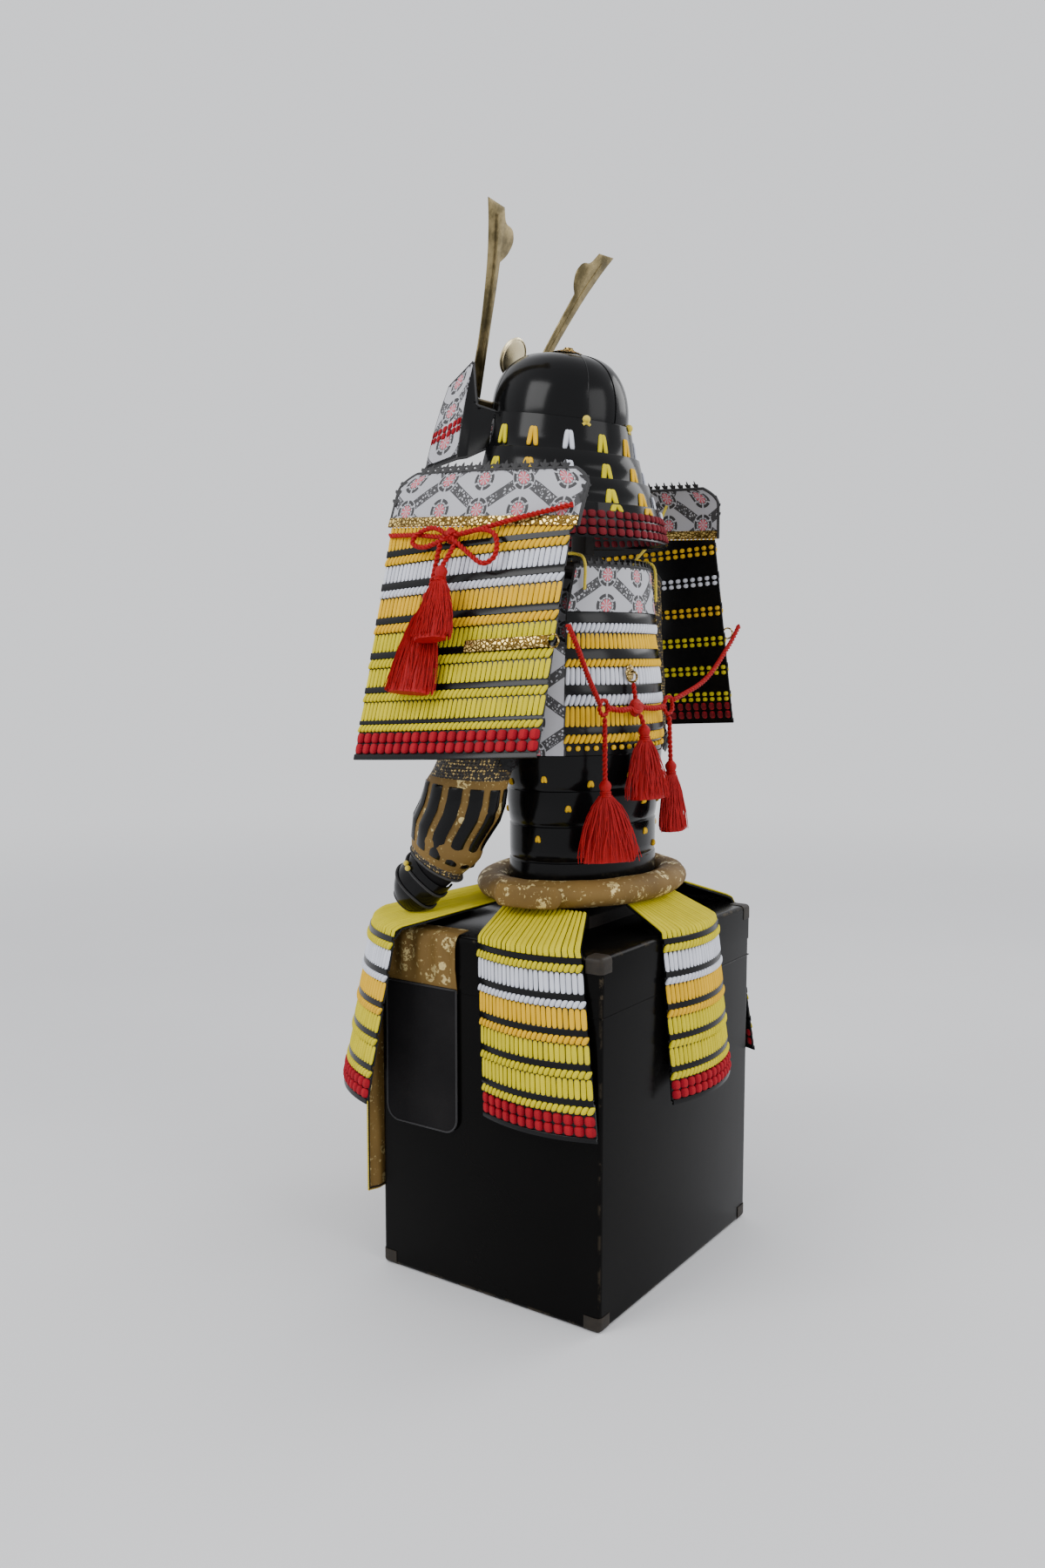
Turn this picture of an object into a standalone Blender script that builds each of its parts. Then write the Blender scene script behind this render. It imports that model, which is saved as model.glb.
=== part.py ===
# Samurai armour standing on its lacquered storage box.
# Metres, +Z up. Origin on the floor under the middle of the box. The armour faces -Y, and the
# wearer's left is +X.

import bpy
import bmesh
import math
from mathutils import Matrix, Vector

# Storage box
BOX_WIDTH = 0.462
BOX_DEPTH = 0.385
BOX_HEIGHT = 0.520
BOX_WALL = 0.010
BOX_CORNER = 0.012
LID_SKIRT = 0.055
BODY_INSET = 0.0012
SEAM = 0.0003

# Torso: the cuirass hangs a little behind the middle of the box
TORSO_Y = 0.020
TORSO_WALL = 0.0025
WAIST_BOTTOM = 0.568
WAIST_TOP = 0.776
BACK_TOP = 0.979
COLLAR_TOP = 1.045
CHEST_TOP = 1.020
ARMHOLE_Z = 0.930
BACK_START = 28.0
BACK_END = 152.0
TORSO_SECTIONS = (  # height, half width along X, half depth along Y
    (0.560, 0.137, 0.096),
    (0.660, 0.136, 0.095),
    (0.720, 0.141, 0.099),
    (0.790, 0.149, 0.104),
    (0.875, 0.145, 0.101),
    (0.960, 0.134, 0.093),
    (1.045, 0.124, 0.086),
)

# Belt
BELT_HALF_WIDTH = 0.1645
BELT_HALF_DEPTH = 0.1225
BELT_RADIUS = 0.024
BELT_Z = 0.5855
BELT_LAP = BELT_RADIUS + 0.0055
BELT_END_RADIUS = 0.019

# Laced work: how far a plate, a braid and the lacing stand out of the wall
PLATE_OUT = 0.0030
BRAID_OUT = 0.0050
LACE_IN = 0.0004
KNOT_IN = 0.0012
KNOT_OUT = 0.0052
LACED_WALL = 0.0028

GUARD_TIERS = (  # kind, height down the shoulder guard
    ("lacing", 0.018),
    ("plate", 0.009),
    ("braid", 0.014),
    ("lacing", 0.024),
    ("plate", 0.011),
    ("braid", 0.013),
    ("lacing", 0.027),
    ("plate", 0.010),
    ("braid", 0.015),
    ("lacing", 0.025),
    ("plate", 0.010),
    ("braid", 0.015),
    ("lacing", 0.025),
    ("plate", 0.009),
    ("braid", 0.014),
    ("lacing", 0.025),
    ("plate", 0.006),
    ("braid", 0.012),
    ("knots", 0.015),
    ("knots", 0.015),
    ("plate", 0.008),
)
SKIRT_TIERS = (  # kind, height down the skirt panel
    ("plate", 0.008),
    ("braid", 0.013),
    ("lacing", 0.026),
    ("plate", 0.009),
    ("braid", 0.012),
    ("lacing", 0.026),
    ("plate", 0.009),
    ("braid", 0.013),
    ("lacing", 0.023),
    ("plate", 0.009),
    ("braid", 0.013),
    ("lacing", 0.025),
    ("plate", 0.009),
    ("braid", 0.013),
    ("knots", 0.014),
    ("knots", 0.014),
    ("plate", 0.007),
)
BACK_TIERS = (  # kind, height down the laced back
    ("plate", 0.015),
    ("braid", 0.016),
    ("lacing", 0.020),
    ("plate", 0.015),
    ("braid", 0.013),
    ("lacing", 0.023),
    ("plate", 0.014),
    ("braid", 0.018),
    ("lacing", 0.027),
    ("plate", 0.011),
    ("braid", 0.015),
    ("edge", 0.0157),
)

# Shoulder guards
GUARD_WIDTH = 0.308
GUARD_PLATE_WIDTH = 0.330
GUARD_BULGE = 0.014
GUARD_KNOTS = 20
GUARD_SIDES = (  # name, side, shift towards the back, lift: the right one hangs higher
    ("left", 1.0, 0.0, 0.0),
    ("right", -1.0, -0.022, 0.017),
)
GUARD_PLATE_HEIGHT = 0.080
GUARD_PATH = (  # distance out along X, height, of the left guard's middle line
    (0.206, 1.168),
    (0.218, 1.130),
    (0.229, 1.085),
    (0.262, 0.960),
    (0.286, 0.868),
    (0.316, 0.758),
)

# Skirt panels
SKIRT_WIDTH = 0.172
SKIRT_HEM_WIDTH = 0.186
SKIRT_FAN_WIDTH = 0.138
SKIRT_BULGE = 0.020
SKIRT_KNOTS = 10
SKIRT_PANELS = (  # name, facing angle, side shift at root, lid and hem, fan root, lid edge, lean
    ("left", 0.0, 0.050, 0.078, 0.104, 0.150, 0.2350, 0.014),
    ("right", 180.0, -0.050, -0.078, -0.104, 0.150, 0.2350, 0.014),
    ("back", 90.0, 0.010, 0.014, 0.034, 0.130, 0.1965, 0.014),
    ("front_left", -42.0, 0.000, 0.006, 0.006, 0.132, 0.2900, 0.052),
    ("front_right", -138.0, 0.000, -0.006, -0.006, 0.132, 0.2900, 0.052),
)
FAN_ROOT_Z = 0.5601

# Helmet
HELMET_Y = -0.027
BOWL_HALF_WIDTH = 0.093
BOWL_HALF_DEPTH = 0.107
BOWL_RIM_Z = 1.262
BOWL_HEIGHT = 0.100
BOWL_WALL = 0.003
HELMET_TILT = 9.0
NECK_LAMES = (  # top height, bottom height, half depth at the top and bottom, forward rise
    (1.2660, 1.2130, 0.1098, 0.1170, 0.155),
    (1.2165, 1.1720, 0.1218, 0.1310, 0.110),
    (1.1755, 1.1330, 0.1358, 0.1460, 0.070),
    (1.1365, 1.0860, 0.1508, 0.1620, 0.040),
)
NECK_SIDE_TRIM = 0.0130
NECK_OPEN_HALF = 62.0
HORN_PIVOT_Y = -0.1405
HORN_PIVOT_Z = 1.305
HORN_LEAN = 24.1
HORN_THICK = 0.0025
HORN_OUTLINE = (  # distance from the middle plane, distance up the leaning plane
    (0.043, 0.000),
    (0.070, 0.000),
    (0.094, 0.100),
    (0.125, 0.185),
    (0.150, 0.235),
    (0.167, 0.262),
    (0.127, 0.259),
    (0.114, 0.240),
    (0.094, 0.238),
    (0.083, 0.222),
    (0.088, 0.202),
    (0.099, 0.190),
    (0.086, 0.148),
    (0.072, 0.098),
)

# Sleeves: height, X, Y, half thickness along X, half width along Y
SLEEVE_SECTIONS = (
    (1.040, 0.172, 0.004, 0.034, 0.048),
    (0.950, 0.182, 0.000, 0.038, 0.050),
    (0.860, 0.203, -0.010, 0.042, 0.054),
    (0.790, 0.214, -0.020, 0.046, 0.060),
    (0.720, 0.214, -0.046, 0.046, 0.061),
    (0.660, 0.209, -0.080, 0.040, 0.054),
    (0.618, 0.205, -0.104, 0.030, 0.040),
)
SLEEVE_WALL = 0.0022
SPLINT_OUT = 0.0022
WRIST_SLANT = 0.563
SHOULDER_SLANT = 0.60

# Cords and tassels
CORD_RADIUS = 0.0032
TASSEL_SIDES = 6
STRAND_TAPER = 0.55

parts = None


def clear_scene():
    for item in list(bpy.data.objects):
        bpy.data.objects.remove(item, do_unlink=True)


def lerp(a, b, t):
    return a + (b - a) * t


def clamp(value, low, high):
    return max(low, min(high, value))


def table_at(table, key):
    """Smoothly interpolate a table's rows, whose first column rises or falls steadily."""
    rows = sorted(table)
    if key <= rows[0][0]:
        return rows[0][1:]
    for low, high in zip(rows, rows[1:]):
        if key <= high[0]:
            t = (key - low[0]) / (high[0] - low[0])
            t = t * t * (3.0 - 2.0 * t)
            return tuple(lerp(a, b, t) for a, b in zip(low[1:], high[1:]))
    return rows[-1][1:]


def smooth_route(points, steps):
    """Read points from a smooth curve through a route's own points."""
    route = [Vector(p) for p in points]
    padded = [route[0] * 2 - route[1]] + route + [route[-1] * 2 - route[-2]]
    out = []
    for a, b, c, d in zip(padded, padded[1:], padded[2:], padded[3:]):
        for i in range(steps):
            t = i / steps
            out.append(0.5 * (2 * b + (c - a) * t + (2 * a - 5 * b + 4 * c - d) * t ** 2
                              + (3 * b - a - 3 * c + d) * t ** 3))
    out.append(route[-1])
    return out


def material(name, colour, roughness, metallic=0.0):
    made = bpy.data.materials.new(name)
    made.use_nodes = True
    shader = made.node_tree.nodes["Principled BSDF"]
    shader.inputs["Base Color"].default_value = (*colour, 1.0)
    shader.inputs["Roughness"].default_value = roughness
    shader.inputs["Metallic"].default_value = metallic
    return made


LOOKS = {  # colour, roughness, metallic
    "lacquer": ((0.010, 0.010, 0.011), 0.22, 0.0),
    "wood": ((0.42, 0.28, 0.15), 0.55, 0.0),
    "plate": ((0.012, 0.012, 0.014), 0.25, 0.3),
    "leather": ((0.45, 0.45, 0.48), 0.60, 0.0),
    "yellow": ((0.78, 0.68, 0.08), 0.75, 0.0),
    "red": ((0.55, 0.01, 0.015), 0.60, 0.0),
    "brocade": ((0.30, 0.19, 0.07), 0.55, 0.2),
    "gilt": ((0.75, 0.56, 0.20), 0.30, 1.0),
    "bronze": ((0.20, 0.15, 0.06), 0.35, 1.0),
    "cloth": ((0.020, 0.020, 0.022), 0.85, 0.0),
}


def add(name, mesh, look):
    """Put a mesh or curve in the armour's collection as one named piece with its own material."""
    item = bpy.data.objects.new(name, mesh)
    item.data.materials.append(material(name, *LOOKS[look]))
    parts.objects.link(item)
    return item


def add_mesh(name, bm, look):
    bmesh.ops.recalc_face_normals(bm, faces=bm.faces)
    large = [f for f in bm.faces if len(f.verts) > 4]
    bmesh.ops.triangulate(bm, faces=large, ngon_method="EAR_CLIP")
    mesh = bpy.data.meshes.new(name)
    bm.to_mesh(mesh)
    bm.free()
    mesh.shade_smooth()
    mesh.set_sharp_from_angle(angle=math.radians(35.0))
    return add(name, mesh, look)


def stitch(bm, upper, lower, closed=False):
    """Join two rows of points, one of which may hold a whole number of times as many."""
    if len(lower) < len(upper):
        upper, lower = lower, upper
    spans = len(upper) if closed else len(upper) - 1
    fine = (len(lower) if closed else len(lower) - 1) // spans
    for i in range(spans):
        top = [upper[i], upper[(i + 1) % len(upper)]]
        low = [lower[(i * fine + k) % len(lower)] for k in range(fine + 1)]
        bm.faces.new(top + low[::-1])


def wall(name, look, at, rows, back_rows, thickness, columns, closed=False):
    """A cloth or plate wall: detailed outer rows over a plain inside.

    at(u, s, out) gives a point: u runs -0.5 to 0.5 across, s down, out away from the body.
    A row is (s, out, columns, bump), and bump lifts every other point of a finer row.
    """
    bm = bmesh.new()

    def row_points(s, out, count, bump):
        total = count if closed else count + 1
        return [bm.verts.new(at(i / count - 0.5, s, out + (bump if i % 2 else 0.0)))
                for i in range(total)]

    outer = [row_points(*row) for row in rows]
    inner = [row_points(s, -thickness, columns, 0.0) for s in back_rows]
    for upper, lower in zip(outer, outer[1:]):
        stitch(bm, upper, lower, closed)
    for upper, lower in zip(inner, inner[1:]):
        stitch(bm, upper, lower, closed)
    stitch(bm, outer[0], inner[0], closed)
    stitch(bm, outer[-1], inner[-1], closed)
    if not closed:
        for end in (0, -1):
            bm.faces.new([row[end] for row in outer] + [row[end] for row in inner[::-1]])
    return add_mesh(name, bm, look)


def laced_rows(tiers, start, columns, knots=0):
    """Outer rows for plates, braids, lacing and knots, from a table of kinds and heights.

    Lacing has no rows of its own: it slopes out from a braid's foot to the next plate's edge.
    """
    rows = []
    s = start
    for kind, height in tiers:
        end = s + height
        if kind == "plate":
            rows += [(s, PLATE_OUT, columns, 0.0), (end, PLATE_OUT, columns, 0.0)]
        elif kind == "braid":
            rows += [(lerp(s, end, 0.5), BRAID_OUT, columns, 0.0), (end, LACE_IN, columns, 0.0)]
        elif kind == "lacing" and not rows:
            rows.append((s, LACE_IN, columns, 0.0))
        elif kind == "knots":
            rows += [(lerp(s, end, 0.5), KNOT_IN, knots * 2, KNOT_OUT),
                     (end, LACE_IN, columns, 0.0)]
        elif kind == "edge":
            rows.append((end, LACE_IN, columns, 0.0))
        s = end
    return rows, s


def even_rows(start, end, count):
    return [lerp(start, end, i / count) for i in range(count + 1)]


def path_frame(path, s):
    """Point and outward normal at a distance along a path of (distance out, height) points."""
    travelled = 0.0
    for a, b in zip(path, path[1:]):
        step = (b - a).length
        if s <= travelled + step or b is path[-1]:
            way = (b - a) / step
            return a + way * (s - travelled), Vector((-way.y, way.x))
        travelled += step
    return path[-1], Vector((1.0, 0.0))


def blended_frame(path, s, blend):
    """path_frame, with the normal averaged around each bend so that walls don't fold."""
    point, _ = path_frame(path, s)
    normal = Vector((0.0, 0.0))
    for k in range(-3, 4):
        normal += path_frame(path, max(0.0, s + k * blend / 3))[1]
    return point, normal.normalized()


def open_box(name, look, width, depth, low, high, mouth_down):
    """A box open at one end, with rounded corners and a wall of even thickness."""
    bm = bmesh.new()
    bmesh.ops.create_cube(bm, size=1.0)
    bmesh.ops.scale(bm, verts=bm.verts, vec=(width, depth, high - low))
    bmesh.ops.translate(bm, verts=bm.verts, vec=(0.0, 0.0, (low + high) / 2))
    side = -1.0 if mouth_down else 1.0
    mouth = [f for f in bm.faces if f.normal.z * side > 0.9]
    bmesh.ops.delete(bm, geom=mouth, context="FACES_ONLY")
    sharp = [e for e in bm.edges if not e.is_boundary]
    bmesh.ops.bevel(bm, geom=sharp, offset=BOX_CORNER, segments=2, profile=0.5, affect="EDGES",
                    clamp_overlap=True)
    mesh = bpy.data.meshes.new(name)
    bm.to_mesh(mesh)
    bm.free()
    item = add(name, mesh, look)
    shell = item.modifiers.new("wall", "SOLIDIFY")
    shell.thickness = BOX_WALL
    shell.offset = -1.0
    shell.use_even_offset = True
    return item


def tube(name, look, points, radius, sides=2):
    """A round cord or bar as a curve with filled caps."""
    curve = bpy.data.curves.new(name, "CURVE")
    curve.dimensions = "3D"
    spline = curve.splines.new("POLY")
    spline.points.add(len(points) - 1)
    for target, point in zip(spline.points, points):
        target.co = (*point, 1.0)
    curve.bevel_depth = radius
    curve.bevel_resolution = sides
    curve.use_fill_caps = True
    return add(name, curve, look)


def as_mesh(item):
    """Turn a curve object into a closed mesh object of the same name and material."""
    bpy.context.view_layer.update()
    seen = item.evaluated_get(bpy.context.evaluated_depsgraph_get())
    mesh = bpy.data.meshes.new_from_object(seen)
    bm = bmesh.new()
    bm.from_mesh(mesh)
    bmesh.ops.remove_doubles(bm, verts=bm.verts, dist=0.00001)
    bm.to_mesh(mesh)
    bm.free()
    name = item.name
    made = bpy.data.objects.new(name + "_mesh", mesh)
    made.matrix_world = item.matrix_world
    bpy.data.objects.remove(item, do_unlink=True)
    parts.objects.link(made)
    made.name = name
    return made


def join(target, others):
    """Fuse other pieces into the target with exact Boolean unions, and remove them."""
    for other in others:
        change = target.modifiers.new("union", "BOOLEAN")
        change.operation = "UNION"
        change.solver = "EXACT"
        change.object = other
        bpy.context.view_layer.update()
        seen = target.evaluated_get(bpy.context.evaluated_depsgraph_get())
        mesh = bpy.data.meshes.new_from_object(seen)
        target.modifiers.clear()
        target.data = mesh
        bpy.data.objects.remove(other, do_unlink=True)
    return target


def primitive(name, look, kind, size, place, turn=(0.0, 0.0, 0.0), segments=12):
    """A box, ball, disc or ring at a place, turned by degrees about X, Y and Z."""
    bm = bmesh.new()
    if kind == "box":
        bmesh.ops.create_cube(bm, size=1.0)
        bmesh.ops.scale(bm, verts=bm.verts, vec=size)
    elif kind == "ball":
        bmesh.ops.create_uvsphere(bm, u_segments=segments, v_segments=segments // 2, radius=1.0)
        bmesh.ops.scale(bm, verts=bm.verts, vec=size)
    elif kind == "disc":
        bmesh.ops.create_cone(bm, cap_ends=True, segments=segments, radius1=size[0],
                              radius2=size[1], depth=size[2])
    elif kind == "ring":
        ring_points(bm, size[0], size[1], segments)
    angles = [math.radians(a) for a in turn]
    spin = (Matrix.Rotation(angles[2], 4, "Z") @ Matrix.Rotation(angles[1], 4, "Y")
            @ Matrix.Rotation(angles[0], 4, "X"))
    bmesh.ops.transform(bm, verts=bm.verts, matrix=Matrix.Translation(place) @ spin)
    return add_mesh(name, bm, look)


def ring_points(bm, radius, bore, segments):
    """A round ring: a small circle spun about Z."""
    made = bmesh.ops.create_circle(bm, segments=6, radius=bore)
    turn = Matrix.Translation((radius, 0.0, 0.0)) @ Matrix.Rotation(math.pi / 2, 4, "X")
    bmesh.ops.transform(bm, verts=made["verts"], matrix=turn)
    edges = list(bm.edges)
    bmesh.ops.spin(bm, geom=list(made["verts"]) + edges, cent=(0.0, 0.0, 0.0), axis=(0, 0, 1),
                   angle=math.tau, steps=segments, use_merge=True)
    bmesh.ops.remove_doubles(bm, verts=bm.verts, dist=0.00001)


# Storage box and stand


def build_box():
    seat = BOX_HEIGHT - LID_SKIRT
    open_box("box_body", "lacquer", BOX_WIDTH - 2 * BODY_INSET, BOX_DEPTH - 2 * BODY_INSET,
             0.0, seat - SEAM, mouth_down=False)
    open_box("box_lid", "lacquer", BOX_WIDTH, BOX_DEPTH, seat, BOX_HEIGHT, mouth_down=True)


BAR_Z = 1.0420
BAR_RADIUS = 0.0130
BAR_LENGTH = 0.2120
POST_HALF = 0.0150
FOOT_WIDTH = 0.1600
FOOT_DEPTH = 0.1200
FOOT_THICK = 0.0180
NECK_WIDTH = 0.0260
HEAD_BLOCK_Z = 1.3000
NECK_Y = 0.0160
PAD_LIFT = 0.0247


def build_stand():
    foot_top = BOX_HEIGHT + SEAM + FOOT_THICK
    primitive("stand_foot", "wood", "box", (FOOT_WIDTH, FOOT_DEPTH, FOOT_THICK),
              (0.0, TORSO_Y, BOX_HEIGHT + SEAM + FOOT_THICK / 2))
    low = foot_top + SEAM
    high = BAR_Z - BAR_RADIUS - SEAM
    primitive("stand_post", "wood", "box", (POST_HALF * 2, POST_HALF * 2, high - low),
              (0.0, TORSO_Y, (low + high) / 2))
    primitive("stand_bar", "wood", "disc", (BAR_RADIUS, BAR_RADIUS, BAR_LENGTH),
              (0.0, TORSO_Y, BAR_Z), turn=(0.0, 90.0, 0.0), segments=16)
    neck_low = BAR_Z + BAR_RADIUS + SEAM
    neck = primitive("stand_head", "wood", "box",
                     (NECK_WIDTH, NECK_WIDTH, HEAD_BLOCK_Z - neck_low),
                     (0.0, NECK_Y, (HEAD_BLOCK_Z + neck_low) / 2))
    pad = primitive("head_pad", "wood", "ball", (0.052, 0.060, 0.030),
                    (0.0, HELMET_Y + 0.012, HEAD_BLOCK_Z + PAD_LIFT), segments=12)
    join(neck, [pad])


# Cuirass


def torso(theta, z, out=0.0):
    """A point on the torso at an angle from the wearer's left, positive towards the back."""
    half_width, half_depth = table_at(TORSO_SECTIONS, z)
    angle = math.radians(theta)
    return Vector(((half_width + out) * math.cos(angle),
                   TORSO_Y + (half_depth + out) * math.sin(angle), z))


def build_waist():
    hoops = 4
    height = (WAIST_TOP - WAIST_BOTTOM) / hoops
    columns = 24
    rows = []
    for i in range(hoops):
        rows += [(WAIST_TOP - i * height, 0.0022, columns, 0.0),
                 (WAIST_TOP - (i + 1) * height + 0.003, 0.0006, columns, 0.0)]
    rows.append((WAIST_BOTTOM, 0.0006, columns, 0.0))
    back = even_rows(WAIST_TOP, WAIST_BOTTOM, 2)
    wall("cuirass_waist", "plate", lambda u, s, out: torso(u * 360.0, s, out), rows, back,
         TORSO_WALL, columns, closed=True)


def chest_edge(theta):
    """Height of the printed front's top edge: low at the armholes, high over the chest."""
    rise = clamp((-math.sin(math.radians(theta)) - 0.42) / 0.45, 0.0, 1.0)
    rise = rise * rise * (3.0 - 2.0 * rise)
    return lerp(ARMHOLE_Z, CHEST_TOP, rise)


def build_front():
    low = WAIST_TOP + SEAM
    start = BACK_END - 360.0 + 0.2
    end = BACK_START - 0.2

    def at(u, s, out):
        theta = lerp(start, end, u + 0.5)
        return torso(theta, lerp(chest_edge(theta), low, s), out)

    columns = 28
    rows = [(s, 0.002, columns, 0.0) for s in even_rows(0.0, 1.0, 3)]
    wall("cuirass_front", "leather", at, rows, even_rows(0.0, 1.0, 3), TORSO_WALL, columns)


def build_back():
    def at(u, s, out):
        return torso(lerp(BACK_START, BACK_END, u + 0.5), BACK_TOP - s, out)

    columns = 12
    rows, end = laced_rows(BACK_TIERS, 0.0, columns)
    wall("cuirass_back", "yellow", at, rows, even_rows(0.0, end, 4), TORSO_WALL, columns)

    def at_collar(u, s, out):
        inset = 6.0 * (s - BACK_TOP) / (COLLAR_TOP - BACK_TOP)
        theta = lerp(BACK_START + inset, BACK_END - inset, u + 0.5)
        return torso(theta, s, out)

    low = BACK_TOP + SEAM
    rows = [(s, 0.0025, columns, 0.0) for s in even_rows(COLLAR_TOP, low, 3)]
    wall("cuirass_back_top", "leather", at_collar, rows, even_rows(COLLAR_TOP, low, 3),
         TORSO_WALL, columns)


STRAP_X = 0.082
STRAP_WIDTH = 0.036
STRAP_RISE = 0.024


def build_straps():
    for side, sign in (("left", 1.0), ("right", -1.0)):
        def at(u, s, out):
            x = STRAP_X + u * STRAP_WIDTH
            angle = s * math.pi
            half_width, half_depth = table_at(TORSO_SECTIONS, COLLAR_TOP)
            reach = half_depth * math.sqrt(1.0 - (x / half_width) ** 2)
            base = lerp(COLLAR_TOP, CHEST_TOP, (1.0 - math.cos(angle)) / 2) + 0.0008
            return Vector((sign * x, TORSO_Y + (reach + out) * math.cos(angle),
                           base + (STRAP_RISE + out) * math.sin(angle)))

        stops = even_rows(0.0, 1.0, 8)
        rows = [(s, 0.0012, 3, 0.0) for s in stops]
        wall("shoulder_strap_" + side, "cloth", at, rows, stops, 0.0012, 3)


def build_belt():
    def ring(half_width, half_depth, radius, start, sweep, count, sides, flat=1.0):
        loops = []
        for i in range(count):
            share = i / (count - 1 if sweep < 360.0 else count)
            angle = math.radians(start + sweep * share)
            centre = Vector((half_width * math.cos(angle), TORSO_Y + half_depth * math.sin(angle),
                             BELT_Z))
            way = Vector((math.cos(angle), math.sin(angle), 0.0))
            loops.append([centre + way * radius * flat * math.cos(math.tau * k / sides)
                          + Vector((0, 0, 1)) * radius * math.sin(math.tau * k / sides)
                          for k in range(sides)])
        return loops

    def skin(name, loops, closed):
        bm = bmesh.new()
        made = [[bm.verts.new(p) for p in loop] for loop in loops]
        for a, b in zip(made, made[1:] + made[:1] if closed else made[1:]):
            stitch(bm, a, b, closed=True)
        if not closed:
            bm.faces.new(made[0])
            bm.faces.new(made[-1])
        add_mesh(name, bm, "brocade")

    skin("belt", ring(BELT_HALF_WIDTH, BELT_HALF_DEPTH, BELT_RADIUS, 0.0, 360.0, 26, 8), True)
    skin("belt_end", ring(BELT_HALF_WIDTH + BELT_LAP, BELT_HALF_DEPTH + BELT_LAP,
                          BELT_END_RADIUS, -12.0, 40.0, 8, 8, flat=0.25), False)


# Laced skirt panels


def build_skirt_panel(name, facing, root_shift, lid_shift, hem_shift, root, edge, lean):
    """A fan of cords runs from under the belt over the lid's edge to the laced plates."""
    angle = math.radians(facing)
    normal = Vector((math.cos(angle), math.sin(angle), 0.0))
    across = Vector((-math.sin(angle), math.cos(angle), 0.0))
    hang = edge + SKIRT_BULGE
    top = BOX_HEIGHT
    bend = Vector((hang - 0.014, top + 0.0115))
    turn = Vector((hang, top - 0.0040))
    path = [Vector((root, FAN_ROOT_Z)), bend, (bend + turn) / 2 + Vector((0.003, 0.003)), turn,
            Vector((hang + lean, top - 0.30))]
    fan = (bend - path[0]).length + 0.020
    laced, end = laced_rows(SKIRT_TIERS, fan, 5, SKIRT_KNOTS)

    def at(u, s, out):
        spot, way = blended_frame(path, s, 0.012)
        share = clamp(s / fan, 0.0, 1.0)
        drop = clamp((s - fan) / (end - fan), 0.0, 1.0)
        width = lerp(lerp(SKIRT_FAN_WIDTH, SKIRT_WIDTH, share), SKIRT_HEM_WIDTH, drop)
        shift = lerp(lerp(root_shift, lid_shift, share), hem_shift, drop)
        droop = SKIRT_BULGE * share * 4.0 * u * u
        return (normal * (spot.x + way.x * out - droop) + across * (u * width + shift)
                + Vector((0.0, 0.0, spot.y + way.y * out)))

    rows = [(s, 0.0010, 5, 0.0) for s in even_rows(0.0, fan - 0.020, 2) + [fan - 0.010]]
    back = [0.0, fan - 0.020, fan - 0.012, fan - 0.004, fan + 0.004]
    back += even_rows(fan + 0.016, end, 2)
    wall("skirt_" + name, "yellow", at, rows + laced, back, LACED_WALL, 5)


# Shoulder guards


def guard_frame(sign, shift, lift):
    """A function that gives points on a shoulder guard, from its own shift and lift."""
    path = [Vector(p) for p in GUARD_PATH]

    def at(u, s, out, width, roll):
        spot, way = blended_frame(path, s, 0.02)
        bulge = GUARD_BULGE * (1.0 - 4.0 * u * u)
        y = u * width - 0.012 * clamp(s / 0.1, 0.0, 1.0)
        return Vector((sign * (spot.x + way.x * out + bulge), y + shift,
                       spot.y + way.y * out + roll * y + lift))

    return at


def build_guards():
    lace_start = GUARD_PLATE_HEIGHT + 0.0008
    for side, sign, shift, lift in GUARD_SIDES:
        frame = guard_frame(sign, shift, lift)

        def plate_at(u, s, out):
            inset = 0.006 + 0.026 * (1.0 - clamp(s / 0.026, 0.0, 1.0)) ** 2
            return frame(u, s, out, GUARD_PLATE_WIDTH - 2 * inset, -0.045)

        columns = 8
        rows = [(s, 0.0, columns, 0.0) for s in (0.0, 0.007, 0.022, 0.055)]
        rows += [(0.055, 0.003, columns, 0.0), (GUARD_PLATE_HEIGHT, 0.003, columns, 0.0)]
        wall("guard_plate_" + side, "leather", plate_at, rows,
             [0.0, 0.007, 0.022, GUARD_PLATE_HEIGHT], LACED_WALL, columns)

        def laced_at(u, s, out):
            share = clamp((s - lace_start) / 0.020, 0.0, 1.0)
            return frame(u, s, out, GUARD_WIDTH, lerp(-0.045, 0.055, share))

        laced, end = laced_rows(GUARD_TIERS, lace_start, columns, GUARD_KNOTS)
        wall("guard_laced_" + side, "yellow", laced_at, laced, even_rows(lace_start, end, 6),
             LACED_WALL, columns)
        build_guard_fitting(side, laced_at)


FITTING_S = 0.2495


def build_guard_fitting(side, at):
    """A gilt strip over the third braid's rear half, with the ring that holds a cord."""
    def strip(u, s, out):
        return at(lerp(0.08, 0.485, u + 0.5), FITTING_S - 0.008 + s, BRAID_OUT + 0.0012 + out)

    item = wall("guard_fitting_" + side, "gilt", strip,
                [(0.0, 0.0009, 4, 0.0), (0.016, 0.0009, 4, 0.0)], [0.0, 0.016], 0.0008, 4)
    ring = primitive("ring", "gilt", "ring", (0.0085, 0.0013),
                     at(0.485, FITTING_S, BRAID_OUT + 0.0012) + Vector((0.0, 0.007, 0.0)),
                     turn=(0.0, 90.0, 0.0), segments=10)
    join(item, [ring])


# Sleeves and hand guards


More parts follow.
